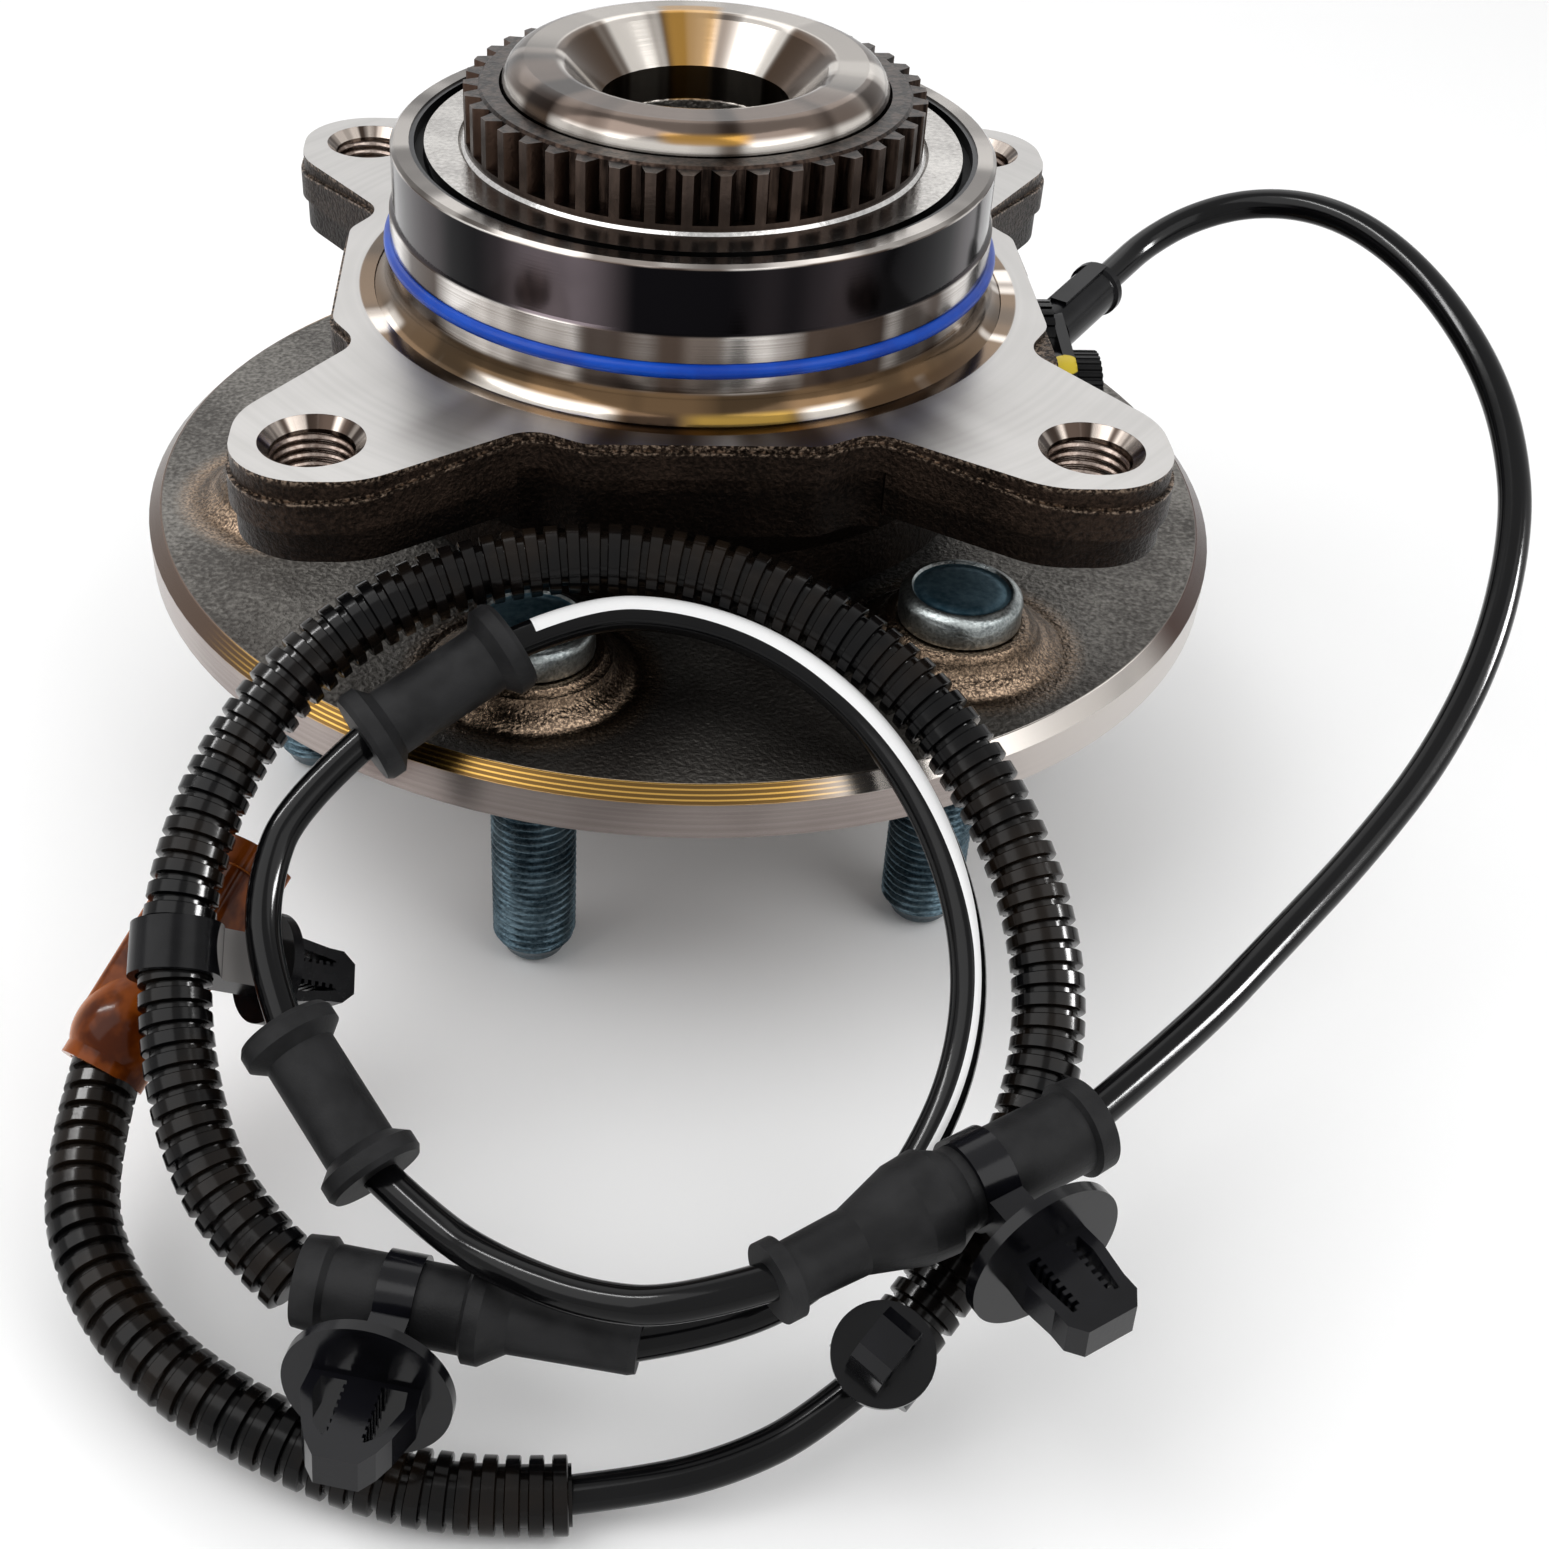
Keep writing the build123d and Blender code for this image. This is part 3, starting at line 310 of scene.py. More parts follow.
def knuckle_face_look(s, r):
    """Where the machined face is, and its colour, darker in front where it mirrors the pilot."""
    colour, _ = turned(s, "a7a5a3", "b1afad", 1.2 * MM)
    level = s.step(s.up, 0.6, 0.9)
    face = s.times(level, s.step(s.z, KNUCKLE_FACE - 0.6 * MM, KNUCKLE_FACE - 0.3 * MM))
    # painted reflection of the pilot: darker in front, lighter in upright bands
    front = s.step(s.share_of(s.y, r), -0.55, -0.95)
    beams = s.step(s.streaks(4.6, 9.0), 0.42, 0.6)
    near = s.times(s.step(r, 78 * MM, 56 * MM), front, s.blend(beams, 1.0, 0.15))
    return face, s.mix(near, colour, rgb("4b433e"))


def pilot_look(s, r):
    """Where the turned pilot is, with its colour and painted reflections, its height and where its black
    band is.
    """
    within = s.step(r, PILOT_R + 0.2 * MM, PILOT_R - 0.2 * MM)
    pilot = s.times(within, s.step(s.z, PILOT_FOOT, PILOT_FOOT + 0.15 * MM))
    front = s.step(s.y, 0, -5 * MM)
    steel, lines = turned(s, "b3aca6", "e8e4e0", 0.3 * MM)
    # painted reflections: dark upright bands on the turned steel
    steel = s.mix(s.step(s.streaks(3.2, 0.4), 0.41, 0.57), rgb("463b34"), steel)
    # the fillet to the knuckle face, with painted reflections and a painted highlight
    fillet = s.step(s.z, FILLET_TOP + 0.5 * MM, FILLET_TOP - 0.5 * MM)
    low = s.step(s.z, FILLET_LOW + 0.5 * MM, FILLET_LOW - 0.5 * MM)
    fillet_reflection = s.mix(s.step(s.streaks(4.0, 2.2), 0.4, 0.58), rgb("453728"), rgb("65503a"))
    flare = s.step(s.streaks(4.5, 3.1), 0.55, 0.66)
    fillet_reflection = s.mix(s.times(flare, low), fillet_reflection, rgb("d8cfc6"))
    fillet_reflection = s.glints(fillet_reflection, FILLET_GLINTS, s.times(front, low))
    steel = s.mix(fillet, steel, fillet_reflection)
    # painted reflections on the pilot above the fillet
    steel = s.glints(steel, PILOT_GLINTS, s.times(front, s.other(fillet)))
    # the black band, with painted reflections
    band = s.between(s.z, *BLACK_BAND, 0.12 * MM)
    black = s.mix(s.step(s.streaks(2.6, 5.0), 0.4, 0.66), rgb("0e0d0f"), rgb("3a3436"))
    glint = s.times(s.between(s.share_of(s.x, r), *BAND_GLINT), front)
    black = s.mix(s.times(glint, s.blend(s.noise(10 * MM, 2), 0.3, 0.9)), black, rgb("6e6468"))
    steel = s.mix(band, steel, black)
    # the rim on top, with painted reflections in upright bands
    rim = s.step(s.z, PILOT_RIM - 0.1 * MM, PILOT_RIM + 0.1 * MM)
    ground = s.mix(s.step(s.streaks(3.6, 4.4), 0.4, 0.6), rgb("57524e"), rgb("a39e99"))
    return pilot, s.mix(rim, steel, ground), lines, band


def ear_hole_look(s):
    """Where the ears' holes and their countersinks are, and their colour, with painted reflections."""
    x = s.minus(s.math("ABSOLUTE", s.x), EAR)
    y = s.minus(s.math("ABSOLUTE", s.y), EAR)
    hole = s.step(s.length(x, y), EAR_SINK_R + 0.05 * MM, EAR_SINK_R - 0.05 * MM)
    # painted reflections in the countersinks, in upright bands
    shine = s.step(s.streaks(2.6, x=x, y=y), 0.42, 0.6)
    return hole, s.mix(shine, rgb("3c322c"), rgb("b9aea5"))


def housing_finish():
    s = Shade("housing_finish", Metallic=1.0)
    r = s.radius()
    colour, rough, grain = forging_look(s, r)
    face, face_colour = knuckle_face_look(s, r)
    pilot, pilot_colour, lines, band = pilot_look(s, r)
    hole, hole_colour = ear_hole_look(s)
    for where, over, over_rough in (
        (face, face_colour, 0.36),
        (pilot, pilot_colour, s.blend(band, 0.16, 0.14)),
        (hole, hole_colour, 0.25),
    ):
        colour = s.mix(where, colour, over)
        rough = s.blend(where, rough, over_rough)
    height = s.blend(s.most(face, pilot, hole), grain, s.times(lines, 0.01))
    s.set(Base_Color=colour, Roughness=rough, Normal=s.bump(height, 0.35 * MM))
    return s.mat


def flange_look(s):
    """Colour, roughness and height of the pebbled flange, with a painted shadow in front under the harness.
    """
    pebbles = s.noise(0.8 * MM, 3, 0.55)
    stains = s.noise(30 * MM, 3)
    tone = s.plus(s.times(pebbles, 0.5), s.times(stains, 0.5))
    colour = s.mix(s.step(tone, 0.35, 0.68), rgb("45423f"), rgb("83807b"))
    # painted shadow of the harness on the front of the flange, its strength changing in upright bands
    shadow = s.blend(s.step(s.streaks(2.2, 11.0), 0.42, 0.6), 0.75, 0.35)
    front = s.times(s.step(s.y, -30 * MM, -70 * MM), shadow)
    return s.mix(front, colour, rgb("2b2623")), s.blend(pebbles, 0.6, 0.38), pebbles


def boss_look(s):
    """Where the rubbed bosses round the studs are, with their colour and their ridges, and painted shade
    between the ridges.
    """
    nearest = None
    for turn in STUDS:
        away = s.radius(STUD_CIRCLE * math.cos(turn), STUD_CIRCLE * math.sin(turn))
        nearest = away if nearest is None else s.math("MINIMUM", nearest, away)
    turns = s.times(s.minus(nearest, BOSS_RIDGE), 2 * math.pi / RIDGE_PITCH)
    ridges = s.times(s.math("COSINE", turns), s.step(nearest, 19.5 * MM, 15 * MM))
    bronze = s.mix(s.step(s.noise(0.45 * MM, 2), 0.36, 0.66), rgb("54473c"), rgb("a08a75"))
    # painted shade in the valleys between the ridges
    bronze = s.mix(s.times(s.step(ridges, 0.3, -0.8), 0.6), bronze, rgb("33291f"))
    return s.step(nearest, *BOSS_EDGES), bronze, ridges


def rim_look(s, r):
    """Where the flange is turned, at its rim and underside, with its colour, its painted reflections and its
    height.
    """
    across = s.share_of(s.x, r)
    steel, lines = turned(s, "8d827e", "a99f9a", 0.6 * MM)
    # painted highlight: lighter on the right
    steel = s.mix(s.step(across, 0.25, 0.75), steel, rgb("c6c0bb"))
    # the chamfer, with painted reflections by the way it faces: gold lines at the front left, steel on the
    # right and brown at both ends
    grooves = s.math("SINE", s.times(s.z, 2 * math.pi / GROOVE_PITCH))
    gold = s.mix(s.step(grooves, 0.1, 0.9), rgb("5e4727"), rgb("b08c4a"))
    wear_and_reflection = s.mix(s.step(across, -0.2, 0.4), rgb("5a4a40"), rgb("c2bcb6"))
    wear_and_reflection = s.mix(s.step(across, 0.74, 0.86), wear_and_reflection, rgb("42302a"))
    lit = s.times(s.step(across, 0.3, 0.12), s.step(across, -0.85, -0.7))
    rim = s.step(r, FLANGE_R, FLANGE_R + 0.25 * MM)
    chamfer = s.times(rim, s.step(s.z, FLANGE_CHAMFER - 0.15 * MM, FLANGE_CHAMFER + 0.15 * MM))
    steel = s.mix(chamfer, steel, s.mix(lit, wear_and_reflection, gold))
    under = s.step(s.z, FLANGE_UNDERSIDE + 0.1 * MM, FLANGE_UNDERSIDE - 0.05 * MM)
    return s.most(rim, under), steel, lines


def head_look(s, r):
    """Where the formed head is, and the painted reflections on its polished face: dark where it faces the
    viewer, gold behind and in front.
    """
    # painted reflections in upright bands of dark and light
    sheen = s.step(s.streaks(2.9, 7.0), 0.42, 0.56)
    flat = s.step(s.up, 0.97, 0.99)
    painted_head_reflections = s.mix(sheen, rgb("46392f"), rgb("c9c3bc"))
    # painted reflection: lighter where it faces straight up
    painted_head_reflections = s.mix(s.times(flat, 0.8), painted_head_reflections, rgb("a7a29c"))
    # painted reflection: darker on the shoulder that faces the viewer
    lip = s.step(r, HEAD_LIP_R, HEAD_LIP_R + 1.2 * MM)
    viewer = s.step(s.plus(s.y, s.times(s.x, 0.3)), 4 * MM, -12 * MM)
    shoulder = s.times(s.step(s.up, 0.35, 0.6), lip, viewer)
    painted_head_reflections = s.mix(s.times(shoulder, 0.95), painted_head_reflections, s.mix(sheen, rgb("221a16"), rgb("5b4e46")))
    # painted reflection: gold where it looks straight ahead and straight back
    ahead = s.step(s.math("ABSOLUTE", s.share_of(s.y, r)), 0.965, 0.99)
    near_side = s.times(s.step(s.y, 0, -1 * MM), s.between(s.up, 0.4, 0.7, 0.08))
    far_side = s.times(s.step(s.y, 0, 1 * MM), s.step(r, 25 * MM, 24 * MM))
    painted_head_reflections = s.mix(s.times(ahead, s.most(near_side, far_side), 0.8), painted_head_reflections, rgb("a97f3c"))
    return s.step(s.z, HEAD_FOOT, HEAD_FOOT + 0.5 * MM), painted_head_reflections


def hub_finish():
    s = Shade("hub_finish", Metallic=1.0)
    r = s.radius()
    colour, rough, pebbles = flange_look(s)
    boss, bronze, ridges = boss_look(s)
    cut, steel, lines = rim_look(s, r)
    head, painted_head_reflections = head_look(s, r)
    for where, over, over_rough in ((boss, bronze, 0.27), (cut, steel, 0.27), (head, painted_head_reflections, 0.17)):
        colour = s.mix(where, colour, over)
        rough = s.blend(where, rough, over_rough)
    smooth = s.most(cut, head)
    swell = s.bump(s.times(ridges, s.other(smooth)), 0.34 * MM)
    height = s.blend(smooth, pebbles, s.times(lines, 0.03))
    s.set(Base_Color=colour, Roughness=rough, Normal=s.bump(height, 0.3 * MM, normal=swell))
    return s.mat


# ------------------------------------------------------------------ finishes of the other pieces
CLUTCH_TIP_R = 36.4 * MM
# patches of another colour, a yellow mark on the sensor and a painted highlight on the left clip: the place
# in mm, its reach in mm, the colour and the way it faces
SENSOR_MARK = ((60.2, -22.6, 89.6), 2.4, "cdb537", (0, 0, 1))
CLIP_HIGHLIGHT = ((-65.6, -111, 42.4), 6, "8c8987", (0.65, -0.42, 0.64))


def plain_metal(name, dark, light, rough, size=0.8 * MM, depth=0.03 * MM):
    """Metal with a fine grain and a little wear."""
    s = Shade(name, Metallic=1.0)
    grain = s.noise(size, 4)
    clouds = s.noise(size * 14, 3)
    tone = s.plus(s.times(grain, 0.5), s.times(clouds, 0.5))
    s.set(Base_Color=s.mix(s.step(tone, 0.34, 0.66), rgb(dark), rgb(light)))
    s.set(Roughness=s.blend(clouds, rough * 0.75, rough * 1.25), Normal=s.bump(grain, depth))
    return s.mat


def polymer(name, dark, light, rough, size=0.6 * MM, depth=0.02 * MM, **sockets):
    """Plastic or rubber with a moulded grain."""
    s = Shade(name, **sockets)
    grain = s.noise(size, 4)
    clouds = s.noise(size * 18, 3)
    s.set(Base_Color=s.mix(s.step(clouds, 0.35, 0.65), rgb(dark), rgb(light)))
    s.set(Roughness=s.blend(clouds, rough * 0.8, rough * 1.2), Normal=s.bump(grain, depth))
    return s.mat


def clutch_finish():
    """Dark sintered teeth, with warm light on one flank of each."""
    s = Shade("clutch_finish", Metallic=1.0)
    r = s.radius()
    grain = s.noise(0.8 * MM, 4)
    streaks = s.noise(1.2 * MM, 3, 0.6, (1, 1, 0.12))
    colour = s.mix(s.step(streaks, 0.36, 0.66), rgb("16110f"), rgb("3d322c"))
    normal = s.node("ShaderNodeSeparateXYZ", {"Vector": s.normal}).outputs
    turn = s.minus(s.times(s.x, normal["Y"]), s.times(s.y, normal["X"]))
    # painted warm light on one flank of each tooth
    flank = s.step(s.share_of(turn, r), 0.35, 0.75)
    colour = s.mix(s.times(flank, 0.6), colour, rgb("57443a"))
    tips = s.step(r, CLUTCH_TIP_R - 0.2 * MM, CLUTCH_TIP_R + 0.2 * MM)
    colour = s.mix(s.times(tips, 0.6), colour, rgb("4f443e"))
    s.set(Base_Color=colour, Roughness=s.blend(streaks, 0.42, 0.25), Normal=s.bump(grain, 0.06 * MM))
    return s.mat


def amber_finish():
    """Clear brown plastic: dark through its thickness, with a painted highlight that makes it paler along
    its edges.
    """
    s = Shade("amber_finish", Roughness=0.15, Specular_IOR_Level=0.1)
    facing = s.node("ShaderNodeLayerWeight", {"Blend": 0.35}).outputs["Facing"]
    body = s.mix(s.step(s.noise(6 * MM, 3), 0.35, 0.65), rgb("451b04"), rgb("7d3d10"))
    # painted highlight along the edges, where they turn away from the viewer
    s.set(Base_Color=s.mix(s.step(facing, 0.3, 0.85), body, rgb("b5682a")))
    return s.mat


def mark_and_highlight(name, place, reach, mark, facing):
    """Black plastic with a patch of another colour round one place in mm, on what faces one way; the sensor
    gets a yellow mark and the left clip a painted highlight.
    """
    s = Shade(name, Roughness=0.22, Specular_IOR_Level=0.12)
    inputs = {0: s.place, 1: Vector(place) * MM}
    away = s.node("ShaderNodeVectorMath", inputs, operation="DISTANCE").outputs["Value"]
    inputs = {0: s.normal, 1: Vector(facing)}
    toward = s.node("ShaderNodeVectorMath", inputs, operation="DOT_PRODUCT").outputs["Value"]
    patch = s.times(s.step(away, reach * MM, (reach - 0.3) * MM), s.step(toward, 0.6, 0.7))
    ground = s.mix(s.step(s.noise(8 * MM, 3), 0.35, 0.65), rgb("08080a"), rgb("121214"))
    s.set(Base_Color=s.mix(patch, ground, rgb(mark)))
    return s.mat


def rubbery(name, dark, light, rough, specular, size=0.6, depth=0.02):
    """A polymer with sizes in mm and its own strength of reflection."""
    return polymer(name, dark, light, rough, size * MM, depth * MM, Specular_IOR_Level=specular)


FINISH = {
    "housing": housing_finish(),
    "hub": hub_finish(),
    "clutch_ring": clutch_finish(),
    "steel": plain_metal("seal_finish", "8f8c89", "b7b4b0", 0.2),
    "ground": plain_metal("bearing_finish", "a9a7a5", "cfcdcb", 0.18),
    "tone": plain_metal("tone_finish", "6a6865", "8d8b88", 0.4),
    "dark_steel": plain_metal("dark_seal_finish", "121214", "242427", 0.3),
    "rubber": rubbery("seal_rubber_finish", "0a0a0b", "131314", 0.6, 0.15),
    "blue": rubbery("ring_finish", "07399c", "0b49b4", 0.3, 0.2, depth=0.004),
    "grommet": rubbery("grommet_finish", "161617", "232324", 0.5, 0.15, 0.4, 0.04),
    "jacket": rubbery("jacket_finish", "060607", "0d0d0e", 0.14, 0.14, 2, 0.01),
    "conduit": rubbery("conduit_finish", "060607", "17110c", 0.16, 0.14, 0.9, 0.01),
    "clip": rubbery("clip_finish", "060608", "0e0e12", 0.16, 0.2, 0.8, 0.01),
    "sensor": rubbery("sensor_finish", "060607", "0e0e0f", 0.24, 0.1, 0.5, 0.03),
    "cage": polymer("cage_finish", "b7a984", "cdbf9a", 0.45),
    "amber": amber_finish(),
    "zinc_side": plain_metal("zinc_side_finish", "6c7273", "b4bab9", 0.3, 0.5 * MM, 0.06 * MM),
    "zinc_blue": plain_metal("zinc_blue_finish", "456879", "7b9baa", 0.5, 1.1 * MM, 0.05 * MM),
    "zinc_thread": plain_metal("zinc_thread_finish", "2a3942", "5d6f78", 0.34, 0.5 * MM, 0.04 * MM),
    "thread": plain_metal("thread_finish", "6b5d55", "a3968e", 0.24),
    "sensor_marked": mark_and_highlight("sensor_marked_finish", *SENSOR_MARK),
    "clip_highlight": mark_and_highlight("clip_highlight_finish", *CLIP_HIGHLIGHT),
    "label": polymer("label_finish", "dedede", "ececec", 0.3, 3 * MM, 0.01 * MM),
}
CAD_FINISH = {
    "housing": "housing",
    "hub": "hub",
    "clutch_ring": "clutch_ring",
    "pilot_o_ring": "blue",
    "seal_case": "dark_steel",
    "seal_slinger": "steel",
    "seal_lip": "rubber",
    "outboard_seal": "rubber",
    "inner_ring_inboard": "ground",
    "inner_ring_outboard": "ground",
    "rollers_inboard": "ground",
    "rollers_outboard": "ground",
    "cage_inboard": "cage",
    "cage_outboard": "cage",
    "tone_ring": "tone",
    "sensor_probe": "sensor",
    "sensor_seat": "sensor",
    "sensor_body": "sensor_marked",
    "sensor_cap": "sensor",
    "grommet_right": "grommet",
    "grommet_left": "grommet",
    "grommet_top": "grommet",
    "grommet_front": "grommet",
    "clip_front": "clip",
    "clip_right": "clip",
    "clip_left": "clip_highlight",
    "clip_lower": "clip",
    "connector_body": "amber",
}
for node_name, finish in CAD_FINISH.items():
    mesh = NODES[node_name].data
    mesh.materials.clear()
    mesh.materials.append(FINISH[finish])


# ------------------------------------------------------------------ mesh helpers
CREASE = math.radians(34)  # a sharper edge than this shades as an edge


def add_piece(name, bm, finish, body):
    """A new smooth piece from bm, in the frame's metres, with its finish, riding on a body."""
    mesh = bpy.data.meshes.new(name)
    bm.to_mesh(mesh)
    bm.free()
    for face in mesh.polygons:
        face.use_smooth = True
    mesh.materials.append(FINISH[finish])
    piece = bpy.data.objects.new(name, mesh)
    bpy.context.scene.collection.objects.link(piece)
    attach(piece, body)
    return piece


def add_mesh(name, bm, finish, body):
    """A piece whose faces look outward and whose sharp edges show."""
    bmesh.ops.recalc_face_normals(bm, faces=bm.faces)
    for edge in bm.edges:
        if len(edge.link_faces) == 2 and edge.calc_face_angle() > CREASE:
            edge.smooth = False
    return add_piece(name, bm, finish, body)


def grid_faces(bm, rows, around=True):
    """Faces between rows of vertices; around joins each row's end to its start."""
    for low, high in zip(rows, rows[1:]):
        count = len(low)
        for i in range(count if around else count - 1):
            j = (i + 1) % count
            bm.faces.new([low[i], low[j], high[j], high[i]])


def circle(bm, radius, height, turns, place):
    """A level ring of vertices."""
    ring = []
    for i in range(turns):
        a = 2 * math.pi * i / turns
        ring.append(bm.verts.new(place @ Vector((radius * math.cos(a), radius * math.sin(a), height))))
    return ring


def lathe(bm, profile, turns, place):
    """A turned shape: profile is (radius, height) from end to end, and closes at its last point."""
    rows = [circle(bm, radius, height, turns, place) for radius, height in profile[:-1]]
    grid_faces(bm, rows)
    middle = bm.verts.new(place @ Vector((0, 0, profile[-1][1])))
    for i in range(turns):
        bm.faces.new([rows[-1][i], rows[-1][(i + 1) % turns], middle])


# ------------------------------------------------------------------ cords
LEAD = 5 * MM
CONDUIT = 10 * MM
ROUTE_STEPS = 24  # straight pieces between two points of a route
JACKET_STEPS = 7  # facets in a quarter of a jacket
NO_LENGTH = 1e-12  # keeps a division by a length of 0 away


def metres(points):
    return [Vector(p) * MM for p in points]


TUBE_START = Vector((61.9, -5, 87.8)) * MM
TUBE_WAY = Vector((0.62, 0.77, 0.12)).normalized()
TUBE_LENGTH = 14.8 * MM
TUBE_END = TUBE_START + TUBE_WAY * TUBE_LENGTH
RIGHT_START, RIGHT_END = metres([(5, -165.5, 38), (48, -142.5, 41.5)])
LEFT_START, LEFT_END = metres([(-44.8, -140.3, 29), (-58.2, -123, 39.7)])
TOP_START, TOP_END = metres([(-49, -88.3, 62.4), (-28, -76.4, 71.2)])
FRONT_START, FRONT_END = metres([(-54, -151.8, 22.4), (-10.4, -161.8, 21.2)])
PLUG_START = Vector((-86, -115.5, 23.5)) * MM
PLUG_WAY = Vector((0.47, 0.73, 0.49)).normalized()
ENTRY = 2 * MM


def inside(start, end):
    """A point a little way in from start, on the line to end."""
    return start + (end - start).normalized() * ENTRY


ROUTES = {
    "lead_sensor": [TUBE_END - TUBE_WAY * ENTRY]
    + metres(
        [
            (75.2, 11.6, 90.4),
            (81, 17.5, 92.5),
            (89, 21.5, 95.5),
            (98, 21.5, 98.5),
            (106.5, 17, 100.5),
            (113.5, 9.5, 100.8),
            (119.5, 0, 99),
            (124.5, -11.5, 95.5),
            (128, -25, 90.5),
            (128.8, -38, 84.8),
            (127, -52, 77.5),
            (120, -69, 66.5),
            (109, -84, 56.5),
            (95, -98, 49.5),
            (80, -112, 45),
            (65, -127, 42.5),
        ]
    )
    + [inside(RIGHT_END, RIGHT_START)],
    "lead_lower": [inside(RIGHT_START, RIGHT_END)]
    + metres([(-6, -168, 36.5), (-17, -164, 33), (-28, -157.4, 31.3), (-37, -148.4, 28.6)])
    + [inside(LEFT_START, LEFT_END)],
    "lead_left": [inside(LEFT_END, LEFT_START)]
    + metres([(-61.5, -115, 44.5), (-62, -105, 50.5), (-58.5, -96, 57)])
    + [inside(TOP_START, TOP_END)],
    "lead_loop": [inside(TOP_END, TOP_START)]
    + metres(
        [
            (-17.5, -72.5, 74),
            (-3, -73, 74),
            (11.5, -78, 71),
            (24, -88, 65),
            (32.5, -101.5, 56.5),
            (36, -116, 47),
            (33.5, -130, 38.5),
            (26, -142, 31),
            (15.5, -152, 25),
            (3, -159, 21.5),
        ]
    )
    + [inside(FRONT_END, FRONT_START)],
    "conduit_upper": metres(
        [
            (-54.6, -151.8, 22.0),
            (-63.8, -144.6, 25.8),
            (-70, -134, 32),
            (-73.5, -120.5, 40),
            (-73.5, -106, 49.5),
            (-69, -91.5, 59),
            (-59.5, -79.5, 68),
            (-45, -70.5, 75),
            (-27.5, -65.7, 78.5),
            (-8, -65.3, 79.2),
            (11, -70.6, 76.5),
            (28, -81.4, 70),
            (40, -96, 60.5),
            (46, -111, 50.3),
            (46.5, -125.5, 40.5),
            (41, -139, 31),
            (32.5, -149.3, 23.4),
            (25, -157, 18.4),
            (18.3, -163.1, 14),
        ]
    ),
    "lead_link": metres(
        [(19.7, -161.8, 14.9), (11.5, -166.8, 10.9), (2, -170.3, 8.4), (-9, -172.3, 6.6), (-21, -172.8, 5.3)]
    ),
    "conduit_lower": metres(
        [
            (-19, -172.7, 5.4),
            (-32, -173, 5.2),
            (-46, -170, 6.3),
            (-60, -164.5, 8.5),
            (-73.5, -156.5, 11.5),
            (-83, -145, 15),
            (-87.5, -131, 19),
        ]
    )
    + [PLUG_START + PLUG_WAY * ENTRY],
}


def route_curve(name, points):
    """The cord's own line: a NURBS spline with the route's points as its control points."""
    data = bpy.data.curves.new(name, "CURVE")
    data.dimensions = "3D"
    data.resolution_u = ROUTE_STEPS
    spline = data.splines.new("NURBS")
    spline.points.add(len(points) - 1)
    for point, place in zip(spline.points, points):
        point.co = (*place, 1)
    spline.order_u = 3
    spline.use_endpoint_u = True
    obj = bpy.data.objects.new(name, data)
    bpy.context.scene.collection.objects.link(obj)
    return obj


def followed(name, points):
    """Points along the route's spline, as Blender works them out."""
    guide = route_curve(name + "_guide", points)
    bpy.context.view_layer.update()
    mesh = bpy.data.meshes.new_from_object(guide)
    line = [v.co.copy() for v in mesh.vertices]
    data = guide.data
    bpy.data.objects.remove(guide)
    bpy.data.curves.remove(data)
    bpy.data.meshes.remove(mesh)
    return line


def respaced(line, step):
    """The line's points at even steps along it."""
    lengths = [0.0]
    for a, b in zip(line, line[1:]):
        lengths.append(lengths[-1] + (b - a).length)
    count = max(2, round(lengths[-1] / step))
    points, k = [], 0
    for i in range(count + 1):
        want = lengths[-1] * i / count
        while k < len(lengths) - 2 and lengths[k + 1] < want:
            k += 1
        share = (want - lengths[k]) / max(lengths[k + 1] - lengths[k], NO_LENGTH)
        points.append(line[k].lerp(line[k + 1], min(max(share, 0), 1)))
    return points


def frames(points, first):
    """At each point: the way along, and a side that doesn't twist, starting near first."""
    result = []
    side = first.copy()
    for i, p in enumerate(points):
        a = points[max(i - 1, 0)]
        b = points[min(i + 1, len(points) - 1)]
        way = (b - a).normalized()
        side = (side - way * side.dot(way)).normalized()
        result.append((p, way, side, way.cross(side)))
    return result


def line_length(points):
    return sum((b - a).length for a, b in zip(points, points[1:]))


def lead(name):
    """A round jacketed lead, which rides on the housing and stands for its CAD node."""
    points = ROUTES[name]
    obj = route_curve(name + "_jacket", points)
    obj.data.bevel_depth = LEAD / 2
    obj.data.bevel_resolution = JACKET_STEPS
    obj.data.materials.append(FINISH["jacket"])
    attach(obj, "housing")
    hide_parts(name)
    line = followed(name, points)
    return line


RIB_PITCH = 3.0 * MM
GROOVE = 1.1 * MM  # depth of the grooves between the ribs
# one rib: the share of the pitch, and the height as a share of the groove's depth
RIB_SHAPE = [(0, 0), (0.14, 0), (0.16, 0.8), (0.21, 1), (0.76, 1), (0.81, 0.8), (0.83, 0)]
GUIDES_PER_RIB = 100
CONDUIT_SIDES = 40
FIRST_SIDE = Vector((0.0, -0.5, 0.83))  # where each ring of the conduit begins, outward and up
SLIT_TURN = math.radians(118)  # where the conduit's slit runs, round from its first side
SLIT_HALF = 0.10  # in radians round the conduit
SLIT_LIP_HALF = 0.26
SLIT_DEPTH = 0.55 * MM
SLIT_LIP = 0.12 * MM
BORE_SHARE = 0.72  # of the wall's radius, at the open ends
PATH_STEP = 1.5 * MM


def rib_radius(high, angle):
    """The conduit's radius at a share of a rib's height and an angle, with the slit and its raised lips."""
    radius = CONDUIT / 2 - (1 - high) * GROOVE
    off = abs((angle - SLIT_TURN + math.pi) % (2 * math.pi) - math.pi)
    if off < SLIT_HALF:
        return radius - SLIT_DEPTH
    if off < SLIT_LIP_HALF and high > 0.9:
        return radius + SLIT_LIP
    return radius


